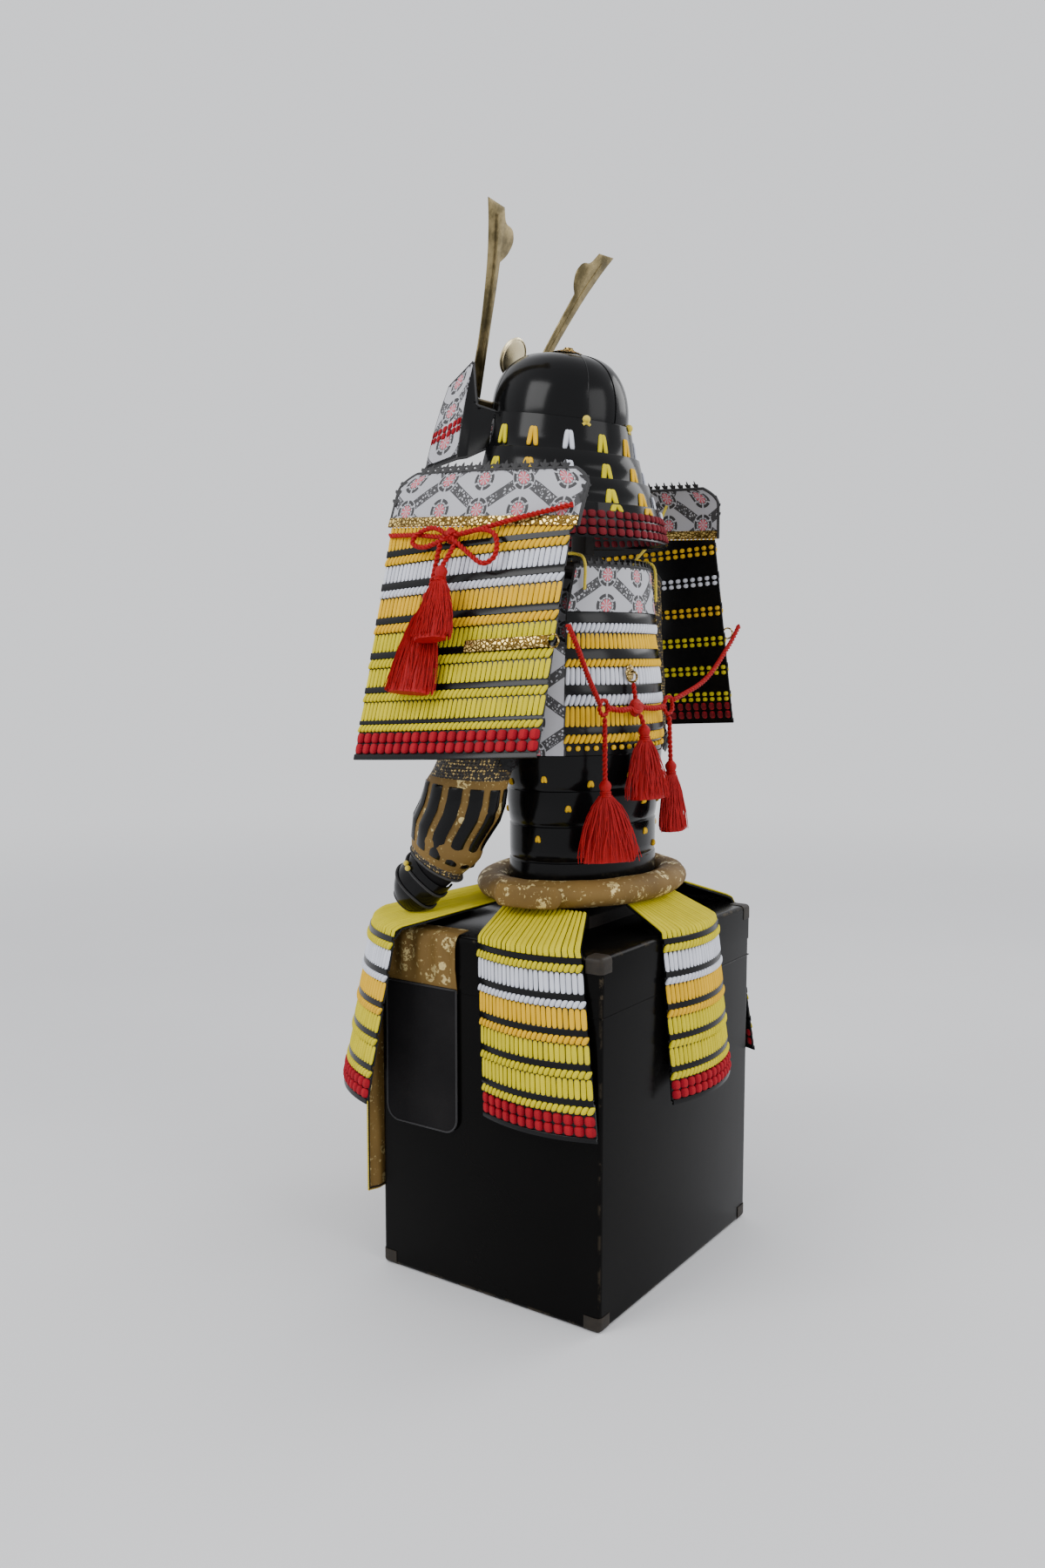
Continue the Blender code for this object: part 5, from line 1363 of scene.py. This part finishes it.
for side, sign in SIDES:
    node = ["sleeve_" + side]

    def sleeve_at(u, s, out):
        x, y, thick, wide = table_at(SLEEVE_SECTIONS, s)
        angle = u * math.tau
        crease = 0.0
        for z, deep, wide_by, lean in ((0.985, 0.0022, 0.008, 0.5), (0.945, 0.0030, 0.010, -0.7),
                                       (0.893, 0.0034, 0.011, 0.9), (0.838, 0.0028, 0.009, -0.5)):
            gap = (s - z + lean * 0.02 * math.sin(angle + z * 40.0)) / wide_by
            crease += deep * math.exp(-gap * gap) * (0.6 + 0.4 * math.cos(angle * 2.0 + z * 70.0))
        aside = (thick + out - crease * 0.8) * math.cos(angle)
        along = (wide + out - crease * 0.8) * math.sin(angle)
        wrist = WRIST_SLANT * ramp(-s, -0.76, 0.14)
        shoulder = SHOULDER_SLANT * ramp(s, 0.95, 0.09)
        return Vector((sign * (x + aside), y + along, s - wrist * along - shoulder * aside))

    bm = coloured_mesh()
    board(bm, sleeve_at, even(SLEEVE_TOP, -SLEEVE_FALL, 60), 64, 0.0018, wrap=True)
    weave = bm.verts.layers.float_vector["weave"]
    for v in bm.verts:
        v[weave] = (v[weave].x * SLEEVE_ROUND, v[weave].y, 0.0)
    tube = piece("sleeve_" + side, bm, mail, node, sharp=CLOTH_SMOOTH)
    shell("sleeve_brocade_" + side, sleeve_at,
          [(0.748 - 0.120 * i / 20, 0.0008 if 0 < i < 20 else 0.0002) for i in range(21)], 64,
          0.0006, brocade, node, True, CLOTH_SMOOTH)
    bm = coloured_mesh()
    for k in range(SPLINTS):
        turn = (k + 0.5) / SPLINTS - 0.5

        def splint_at(u, s, out):
            ridge = 0.0012 * (1.0 - 4.0 * u * u)
            return sleeve_at(turn + u * 0.054, s, out + ridge)

        strip = coloured_mesh()
        board(strip, splint_at, [(0.738, 0.0006), (0.736, 0.0020), (0.720, 0.0024),
                                 (0.700, 0.0026), (0.672, 0.0024), (0.640, 0.0020),
                                 (0.638, 0.0006)], 6, 0.0010)
        pour(strip, bm)
    piece("sleeve_splints_" + side, bm, hoop_lacquer, node)
    bm = bmesh.new()
    for z in (1.040, 0.618):
        sweep(bm, [sleeve_at(i / 40, z, 0.0002) for i in range(41)], 0.0022, 6)
    piece("sleeve_edges_" + side, bm, edge_cloth, node)
    # A lacquered rosette guards the elbow.
    bm = bmesh.new()
    hub, away, elbow = (sleeve_at(ELBOW_TURN, ELBOW_Z, out) for out in (0.0022, 0.01, 0.0))
    out_way = (away - elbow).normalized()
    facing_out = out_way.to_track_quat("Z", "Y").to_matrix().to_4x4()
    for radius, tall, lift in ((0.0185, 0.0022, 0.0), (0.0130, 0.0022, 0.0014),
                               (0.0055, 0.0030, 0.0024)):
        petal_disc(bm, Matrix.Translation(hub) @ facing_out, radius, lift, tall, 8, 0.07, 40)
    piece("elbow_rosette_" + side, bm, hoop_lacquer, node)

    # Hand guard: a bent lacquered plate, edged in cord and tied at the wrist.
    over = (HAND_TIP - HAND_START).normalized().cross(RIGHT).normalized()

    def hand_at(u, s, out):
        angle = u * math.radians(230.0)
        round_off = 1.0 - 0.45 * ramp(s, 0.55, 0.45) ** 2
        point = HAND_START.lerp(HAND_TIP, s)
        point = (point + RIGHT * (0.030 * round_off + out) * math.cos(angle)
                 + over * (0.039 * round_off + out) * math.sin(angle))
        return Vector((sign * point.x, point.y, point.z))

    node = ["hand_guard_" + side]
    shell("hand_guard_" + side, hand_at,
          [(0.105 + 0.895 * i / 12, 0.0 if i else -0.0004) for i in range(13)], 36, 0.0018,
          hoop_lacquer, node)

    def cuff_at(u, s, out):
        angle = u * math.tau
        across = RIGHT * (0.027 + out) * math.cos(angle) - over * (0.035 + out) * math.sin(angle)
        inner = HAND_START.lerp(HAND_TIP, 0.38) + across * (1.0 - 0.10 * s)
        outer = sleeve_at(u, 0.626, -0.0026 + out)
        return outer.lerp(Vector((sign * inner.x, inner.y, inner.z)), s)

    shell("cuff_" + side, cuff_at, even(0.0, 1.0, 10), 32, 0.0012, lining,
          ["sleeve_" + side], True, CLOTH_SMOOTH)
    rim = [(-0.5, 0.105 + 0.895 * i / 8, -0.0008) for i in range(9)]
    rim += [(i / 30 - 0.5, 1.0, -0.0008) for i in range(1, 30)]
    rim += [(0.5, 1.0 - 0.895 * i / 8, -0.0008) for i in range(9)]
    binding("hand_guard_edge_" + side, hand_at, rim, 0.0018, node)
    for k, s in enumerate((0.30, 0.62)):
        binding("hand_tie_%s_%d" % (side, k + 1), hand_at,
                [(i / 30 - 0.5, s + 0.02 * math.sin(i * 0.4), 0.0012) for i in range(31)], 0.0021,
                node)
    bm = bmesh.new()
    for turn in (0.10, 0.16):
        ball(bm, hand_at(turn, 0.30, 0.0030), 0.0042, 10)
    piece("hand_knot_" + side, bm, braid, node)

# Thigh apron.
# Brocade aprons with a black lining and twisted yellow piping hang from under the skirt. The side
# pieces are brocade above and a dark, round-cornered panel below.
FRONT_PATH = [Vector(p) for p in ((0.130, 0.5290), (0.180, 0.5245), (0.1895, 0.5232),
                                  (0.1947, 0.5160), (0.1953, 0.0900))]
SIDE_PATH = [Vector(p) for p in ((0.2035, 0.5250), (0.218, 0.5240), (0.2280, 0.5232),
                                 (0.2328, 0.5160), (0.2333, 0.2240))]
APRON_FALL = 0.460
FLANK_FALL = 0.112
PANEL_FALL = 0.318
PANEL_ROUND = 0.022
for side, sign in SIDES:
    def front_apron_at(u, s, out):
        point, way = blended_frame(FRONT_PATH, s, 0.008)
        x = lerp(0.012, lerp(0.198, 0.226, ramp(s, 0.055, 0.03)), u + 0.5)
        flare = 0.016 * ramp(u * 4.0, 1.0, 1.0) * ramp(s, 0.10, 0.15)
        lean = 0.6 * math.sin(s * 7.0 + 0.4)
        folds = 0.0022 * (1.0 + math.cos((u + 0.5) * 5.0 * math.tau + lean))
        folds += 0.0012 * (1.0 + math.cos((u + 0.5) * 11.0 * math.tau - lean * 1.4))
        folds *= ramp(s, 0.08, 0.10)
        drop = ramp(s, 0.40, 0.10) * 0.020 * (u + 0.5)
        return Vector((sign * (x + flare * 1.1), -(point.x + way.x * out + flare * 0.4 + folds),
                       point.y + way.y * out - drop))

    node = ["apron_front_" + side]
    cloth = shell("apron_front_" + side, front_apron_at, even(0.0, APRON_FALL, 70), 80, 0.0009,
                  brocade, node, sharp=CLOTH_SMOOTH)
    inside = shell("apron_lining_" + side, front_apron_at, even(0.06, 0.398, 60, -0.0010), 80,
                   0.0008, lining, node, sharp=CLOTH_SMOOTH)
    bm = bmesh.new()
    rope(bm, [front_apron_at(0.5, 0.075 + 0.385 * i / 60, 0.0004) for i in range(61)]
         + [front_apron_at(0.5 - i / 60, APRON_FALL, 0.0004) for i in range(1, 61)], 0.0016,
         turn=0.007, sides=5)
    piping = piece("apron_piping_" + side, bm, braid, node)
    hem = shell("apron_hem_" + side,
                lambda u, s, out: front_apron_at(lerp(0.40, 0.497, u + 0.5), s, out - 0.0030),
                even(0.085, 0.370, 50), 10, 0.0008, brocade, node, sharp=CLOTH_SMOOTH)

    def flank_at(u, s, out):
        point, way = blended_frame(SIDE_PATH, s, 0.008)
        y = lerp(-0.176, -0.047, u + 0.5)
        folds = 0.0024 * (1.0 + math.cos((u + 0.5) * 4.0 * math.tau))
        folds *= 1.0 - ramp(s, 0.075, 0.03)
        folds *= ramp(s, 0.025, 0.02)
        return Vector((sign * (point.x + way.x * out + folds), y, point.y + way.y * out))

    def panel_at(u, s, out):
        short = max(0.0, s - (PANEL_FALL - PANEL_ROUND)) / PANEL_ROUND
        narrow = 1.0 - 0.33 * (1.0 - math.sqrt(max(0.0, 1.0 - short * short)))
        return flank_at(u * narrow, s, out)

    node = ["apron_side_" + side]
    cloth = shell("apron_side_" + side, flank_at, even(0.0, FLANK_FALL, 30), 48, 0.0013, brocade,
                  node, sharp=CLOTH_SMOOTH)
    rounding = [PANEL_FALL - PANEL_ROUND * (1.0 - math.sin(i * math.pi / 16))
                for i in range(1, 9)]
    rows = [(0.105, 0.0006), (0.1056, 0.0015)]
    rows += [(s, 0.0015) for s in [0.106 + 0.19 * i / 16 for i in range(17)] + rounding]
    panel = shell("apron_panel_" + side, panel_at, rows, 30, BOARD_WALL, lining, node,
                  sharp=60.0)
    bm = bmesh.new()
    falls = [0.107 + 0.189 * i / 12 for i in range(13)] + rounding
    hem = [(-0.5, s) for s in falls] + [(i / 16 - 0.5, PANEL_FALL) for i in range(1, 16)]
    hem += [(0.5, s) for s in reversed(falls)] + [(0.5 - i / 16, 0.107) for i in range(1, 17)]
    sweep(bm, [panel_at(u, s, 0.0013) for u, s in hem], 0.0016, 6)
    border = piece("apron_border_" + side, bm, edge_cloth, node)

# Helmet.
# A bowl of lacquered iron plates with a broad seam over the crown, four laced neck lames, and
# ends turned back beside the face. The lowest lame carries three rows of dark red silk blocks.
HELMET_Y = -0.027
BOWL_HALF_WIDTH = 0.093
BOWL_HALF_DEPTH = 0.107
BOWL_RIM_Z = 1.262
BOWL_HEIGHT = 0.100
HELMET_TILT = 9.0
FACE_GAP = 124.0
KNOB_TURNS = (51.0, 102.5, 154.0)


def tilt(point):
    pivot = Vector((0.0, HELMET_Y, BOWL_RIM_Z))
    return pivot + Matrix.Rotation(math.radians(-HELMET_TILT), 3, "X") @ (Vector(point) - pivot)


def bowl_point(theta, rise, out):
    lift = math.sin(rise * math.pi / 2)
    spread = max(0.0, math.cos(rise * math.pi / 2)) ** 0.62
    angle = math.radians(theta)
    brow = 0.010 * max(0.0, -math.sin(angle)) * math.sin(rise * math.pi)
    return tilt(((BOWL_HALF_WIDTH * spread + out * spread) * math.cos(angle),
                 HELMET_Y + (BOWL_HALF_DEPTH * spread + out * spread + brow) * math.sin(angle),
                 BOWL_RIM_Z + (BOWL_HEIGHT + out) * lift))


rises = [i / 26 for i in range(24)] + [0.925, 0.955, 0.978, 0.992, 1.0]
shell("helmet_bowl", lambda u, s, out: bowl_point(u * 360.0, s, out), [(s, 0.0) for s in rises],
      80, 0.0028, hoop_lacquer, ["helmet_bowl"], True, 60.0)
bm = coloured_mesh()


def seam_at(u, s, out):
    theta = 90.0 if s > 0 else -90.0
    rise = 1.0 - abs(s)
    point = bowl_point(theta, rise, 0.0)
    way = (bowl_point(theta, rise, 0.01) - point).normalized()
    x = u * lerp(0.015, 0.030, abs(s))
    return point + RIGHT * x + way * (out - x * x / 0.17)


board(bm, seam_at, [(i / 40, 0.0011) for i in range(-40, 41)], 8, 0.0012)
for theta in (52.0, 128.0, -45.0, -135.0):
    ridge = bmesh.new()
    sweep(ridge, [bowl_point(theta, i / 24 * 0.92, -0.0003) for i in range(25)], 0.0009, 6)
    pour(ridge, bm)
piece("helmet_seams", bm, hoop_lacquer, ["helmet_bowl"])
bm = bmesh.new()
sweep(bm, [bowl_point(i * 9.0, 0.0, 0.0008) + UP * 0.0014 for i in range(41)], 0.0026, 8)
piece("helmet_rim", bm, hoop_lacquer, ["helmet_bowl"])

# Crown ornament: petalled gilt discs, one on another, under a raised ring.
crown = bowl_point(0.0, 1.0, 0.0) + UP * 0.0020
lean = Matrix.Rotation(math.radians(-HELMET_TILT), 4, "X")
bm = bmesh.new()
for radius, low, tall, petals in ((0.0235, 0.0, 0.0018, 16), (0.0185, 0.0018, 0.0016, 16),
                                  (0.0130, 0.0034, 0.0016, 12), (0.0085, 0.0050, 0.0022, 10)):
    petal_disc(bm, Matrix.Translation(crown) @ lean, radius, low, tall, petals, 0.06, petals * 4)
sweep(bm, circle(crown + lean @ (UP * 0.0072), lean @ RIGHT, lean @ ASIDE, 0.0058, 24), 0.0012, 6)
piece("crown_ornament", bm, gilt, ["crown_ornament"])

NECK_LAMES = (
    (1.2660, 1.2130, 0.1098, 0.1170, 0.155), (1.2165, 1.1720, 0.1218, 0.1310, 0.110),
    (1.1755, 1.1330, 0.1358, 0.1460, 0.070), (1.1365, 1.0860, 0.1508, 0.1620, 0.040),
)
COLUMN_STEP, HALF_LACE = 0.108, 0.0080
COLUMN_DYES = (LEMON, ORANGE, WHITE, LEMON, ORANGE, WHITE, LEMON, ORANGE, LEMON)
for index, (top, bottom, half_top, half_bottom, rise) in enumerate(NECK_LAMES, start=1):
    last = index == len(NECK_LAMES)
    span = 360.0 - FACE_GAP + (0.0 if last else 8.0)

    def lame_at(u, s, out):
        z = top - s
        half = lerp(half_top, half_bottom, s / (top - bottom)) + out
        angle = math.radians(90.0 + u * span)
        trim = 0.0130 * (z - 1.086) / 0.162
        y = half * math.sin(angle)
        return Vector(((half - trim) * math.cos(angle), HELMET_Y + y, z - rise * y))

    height = top - bottom
    node = ["neck_lame_%d" % index]
    rows = [(0.0, 0.0004), (0.0006, 0.0012), (height * 0.5, 0.0014), (height - 0.0050, 0.0012),
            (height - 0.0042, 0.0020), (height - 0.0012, 0.0026), (height, 0.0018)]
    shell("neck_lame_%d_plate" % index, lame_at, rows, 72, 0.0012, hoop_lacquer, node)
    bm = coloured_mesh()
    for k, colour in enumerate(COLUMN_DYES):
        u = (k - 4) * COLUMN_STEP
        for pair in (-1, 1):
            row = coloured_mesh()
            soft_form(row, lame_at, u + pair * HALF_LACE, height * (0.14 if last else 0.62), 0.0020,
                      HALF_LACE, height * (0.10 if last else 0.27), 0.0024, tint(colour), 0.5, 4.0,
                      0.45 * pair, 0.0, 8, 8)
            pour(row, bm)
    if last:
        rows = coloured_mesh()
        for i in range(3):
            for k in range(44):
                soft_form(rows, lame_at, (k + 0.5) / 44 - 0.5, 0.0165 + i * 0.0122, 0.0016,
                          0.0105, 0.0054, 0.0036, tint((0.155, 0.010, 0.016), 0.14), 0.5, 3.0)
        pour(rows, bm)
    piece("neck_lame_%d_lacing" % index, bm, lacing, node, sharp=CORD_SMOOTH)

bm = bmesh.new()
for theta in KNOB_TURNS:
    ball(bm, bowl_point(theta, 0.02, 0.0050), 0.0058, down=10)
    sweep(bm, [bowl_point(theta + k, 0.02, 0.0050) - UP * (0.004 + 0.004 * abs(k) / 3)
               for k in (-3, -1, 1, 3)], 0.0024, 8)
piece("helmet_knobs", bm, braid, ["helmet_bowl"])


def visor_at(u, s, out):
    angle = math.radians(-90.0 + u * 100.0)
    reach = lerp(0.99, 1.30, s)
    drop = 0.020 * s + 0.012 * s * s + 0.0015
    return tilt((BOWL_HALF_WIDTH * reach * math.cos(angle),
                 HELMET_Y + BOWL_HALF_DEPTH * reach * math.sin(angle), BOWL_RIM_Z - drop + out))


leather_board("helmet_visor", visor_at, even(0.0, 1.0, 10, 0.0012), 36, 0.17, ["helmet_visor"],
              0.0024, 0.04)
binding("helmet_visor_edge", visor_at, [(i / 40 - 0.5, 1.0, 0.0) for i in range(41)], 0.0024,
        ["helmet_visor"])

# Turned-back ends: printed leather over iron, with a red laced band and a black edge.
BLOWBACK_EDGES = (
    (0.00, 0.0800, -0.0866, 1.2751, 0.0896, -0.0905, 1.2228),
    (0.30, 0.0960, -0.1090, 1.2840, 0.1200, -0.1110, 1.2060),
    (0.45, 0.0850, -0.1230, 1.3500, 0.1270, -0.1230, 1.2040),
    (1.00, 0.0720, -0.1780, 1.3220, 0.1300, -0.1780, 1.1920),
)
for side, sign in SIDES:
    def turned_at(u, s, out):
        row = table_at(BLOWBACK_EDGES, u + 0.5)
        way = Vector((0.93, 0.20, 0.30)).normalized()
        point = Vector(row[:3]).lerp(Vector(row[3:]), s)
        point = point + way * (out + 0.005 * math.sin(s * math.pi))
        return Vector((sign * point.x, point.y, point.z))

    node = ["blowback_" + side]
    shell("blowback_" + side, turned_at, even(0.0, 1.0, 16, 0.0008), 24, 0.0018, lacquer,
          node)

    def facing_at(u, s, out):
        return turned_at(0.22 + u * 0.54, s, out)

    leather_board("blowback_leather_" + side, facing_at, even(0.02, 0.94, 12, 0.0020), 14, 0.08,
                  node, 0.0012, 0.13)
    bm = coloured_mesh()
    for k in range(8):
        for s in (0.625, 0.700):
            soft_form(bm, facing_at, (k + 0.5) / 8 - 0.5, s, 0.0024, 0.056, 0.033, 0.0026,
                      tint(KNOT_RED), 0.06, 3.0)
    piece("blowback_lacing_" + side, bm, lacing, node, sharp=CORD_SMOOTH)
    edge = [(i / 16 - 0.5, 0.0, 0.0) for i in range(17)]
    edge += [(0.5, i / 12, 0.0) for i in range(1, 13)]
    edge += [(0.5 - i / 16, 1.0, 0.0) for i in range(1, 17)]
    binding("blowback_edge_" + side, turned_at, edge, 0.0020, node)
    tips = [(i / 9 - 0.5, 0.03) for i in range(2, 9)]
    picots("blowback_picots_" + side, turned_at, tips, node)

# Horns and disc.
# Flat horns of olive-brown brass stand in a holder on the brow, with a pale gold disc between.
HORN_PIVOT_Y = -0.1405
HORN_PIVOT_Z = 1.305
HORN_LEAN = 24.1
HORN_THICK = 0.0025
HOLDER_WIDTH = 0.150
DISC_RADIUS = 0.0296
HORN_OUTLINE = (
    (0.043, 0.000), (0.070, 0.000), (0.094, 0.100), (0.125, 0.185), (0.150, 0.235),
    (0.167, 0.262), (0.127, 0.259), (0.114, 0.240), (0.094, 0.238), (0.083, 0.222),
    (0.088, 0.202), (0.099, 0.190), (0.086, 0.148), (0.072, 0.098),
)
bronze = Finish("olive_brass", Metallic=0.85)
patina = bronze.noise(24.0, 6.0, bronze.place(), 0.65)
fine = bronze.noise(240.0, 4.0)
bronze.dye(patina.over(0.36, 0.66), (0.105, 0.082, 0.034), (0.34, 0.265, 0.125))
bronze.put("Roughness", patina * 0.25 + 0.27)
bronze.bump(patina * 0.7 + fine * 0.3, 0.0008, 0.35)
pale_gold = Finish("pale_gold", Metallic=1.0)
pale_gold.dye(pale_gold.noise(30.0, 5.0), (0.62, 0.50, 0.26), (0.90, 0.82, 0.58))
pale_gold.put("Roughness", pale_gold.noise(60.0, 3.0) * 0.2 + 0.2)


def horn_spot(x, rise, out=0.0):
    lean_by = math.radians(HORN_LEAN)
    return Vector((x, HORN_PIVOT_Y + rise * math.sin(lean_by) - out * math.cos(lean_by),
                   HORN_PIVOT_Z + rise * math.cos(lean_by) + out * math.sin(lean_by)))


for side, sign in SIDES:
    corners = [Vector((x, z, 0.0)) for x, z in HORN_OUTLINE]
    line = []
    for i, corner in enumerate(corners):
        ahead, after = corners[i - 1], corners[(i + 1) % len(corners)]
        if i in (0, 1, 5, 6, 11):
            line += [corner.lerp(ahead, 0.04), corner, corner.lerp(after, 0.04)]
        else:
            for k in range(6):
                t = k / 5
                a = corner.lerp(ahead, 0.42)
                c = corner.lerp(after, 0.42)
                line.append(a.lerp(corner, t).lerp(corner.lerp(c, t), t))
    bm = bmesh.new()
    bmesh.ops.create_circle(bm, cap_ends=True, segments=len(line), radius=1.0)
    for v, point in zip(list(bm.verts), line):
        v.co = horn_spot(sign * point.x, point.y, HORN_THICK / 2)
    bmesh.ops.recalc_face_normals(bm, faces=bm.faces)
    bmesh.ops.solidify(bm, geom=list(bm.faces), thickness=HORN_THICK)
    rims = [e for e in bm.edges if e.calc_face_angle(0.0) > 1.0
            and any(len(f.verts) > 4 for f in e.link_faces)]
    round_edges(bm, rims, 0.0006, 2, clamp=False)
    piece("horn_" + side, bm, bronze, ["horn_" + side])
    bm = bmesh.new()
    vein = [(0.057, 0.012), (0.068, 0.050), (0.083, 0.100), (0.099, 0.150), (0.117, 0.200),
            (0.140, 0.247)]
    for face in (1, -1):
        sweep(bm, smooth_route([horn_spot(sign * x, z, face * 0.0012) for x, z in vein], 5), 0.0009,
              6)
    piece("horn_vein_" + side, bm, bronze, ["horn_" + side])

bm = coloured_mesh()
board(bm, lambda u, s, out: horn_spot(u * HOLDER_WIDTH, -0.020 * s - 0.0003, out),
      [(0.0, 0.0014), (0.06, 0.0022), (0.94, 0.0022), (1.0, 0.0014)], 40, 0.0036)
stem = coloured_mesh()
board(stem, lambda u, s, out: horn_spot(u * 0.016, 0.055 - s, out),
      [(0.0, 0.0016), (0.065, 0.0016)], 4, 0.0032)
pour(stem, bm)
for u in (-0.43, 0.43):
    stud = bmesh.new()
    ball(stud, horn_spot(u * HOLDER_WIDTH, -0.010, 0.0020), 0.0040)
    pour(stud, bm)
knob = bmesh.new()
made = bmesh.ops.create_cone(knob, cap_ends=True, segments=20, radius1=0.0050, radius2=0.0050,
                             depth=0.0060)["verts"]
turn = Matrix.Rotation(math.radians(90.0 - HORN_LEAN), 4, "X")
bmesh.ops.transform(knob, verts=made,
                    matrix=Matrix.Translation(horn_spot(0.0, 0.030, -0.0036)) @ turn)
pour(knob, bm)
piece("horn_holder", bm, bronze, ["horn_holder"])
bm = bmesh.new()
made = bmesh.ops.create_uvsphere(bm, u_segments=64, v_segments=12, radius=1.0)["verts"]
for v in made:
    x, y, z = v.co
    wide = math.hypot(x, y)
    full = min(1.0, wide * 1.02)
    flat_z = math.copysign(0.0030 * max(0.0, 1.0 - full ** 8) ** 0.5, z) + 0.0012 * z * (1 - wide)
    v.co = Vector((x * DISC_RADIUS, y * DISC_RADIUS, flat_z))
for radius in (0.0270, 0.0125):
    for face in (-0.0026, 0.0026):
        sweep(bm, circle(UP * face, RIGHT, ASIDE, radius, 48), 0.0009, 6)
bmesh.ops.transform(bm, verts=bm.verts, matrix=Matrix.Translation(horn_spot(0.0, 0.072)) @ turn)
piece("brow_disc", bm, pale_gold, ["horn_holder"])

# Cord bracket.
# A gilt flower plate on the cuirass back, whose ring holds the stem of the red knot.
BRACKET_X, BRACKET_Z = 0.0420, 0.8930
half_width, half_depth = table_at(TORSO_SECTIONS, BRACKET_Z)
bracket_y = TORSO_Y + half_depth * math.sqrt(1.0 - (BRACKET_X / half_width) ** 2) + 0.0072
bm = bmesh.new()
for radius, lift, petals in ((0.0118, 0.0, 8), (0.0070, 0.0012, 6)):
    made = bmesh.ops.create_uvsphere(bm, u_segments=48, v_segments=8, radius=1.0)["verts"]
    for v in made:
        angle = math.atan2(v.co.z, v.co.x)
        wide = radius * (1.0 + 0.08 * math.cos(angle * petals))
        v.co = Vector((v.co.x * wide + BRACKET_X, v.co.y * 0.0018 + bracket_y + lift,
                       v.co.z * wide + BRACKET_Z))
sweep(bm, circle(Vector((BRACKET_X, bracket_y + 0.0040, BRACKET_Z - 0.0060)), ASIDE, UP, 0.0075,
                 24), 0.0016, 8)
piece("cord_bracket", bm, gilt, ["cord_bracket"])
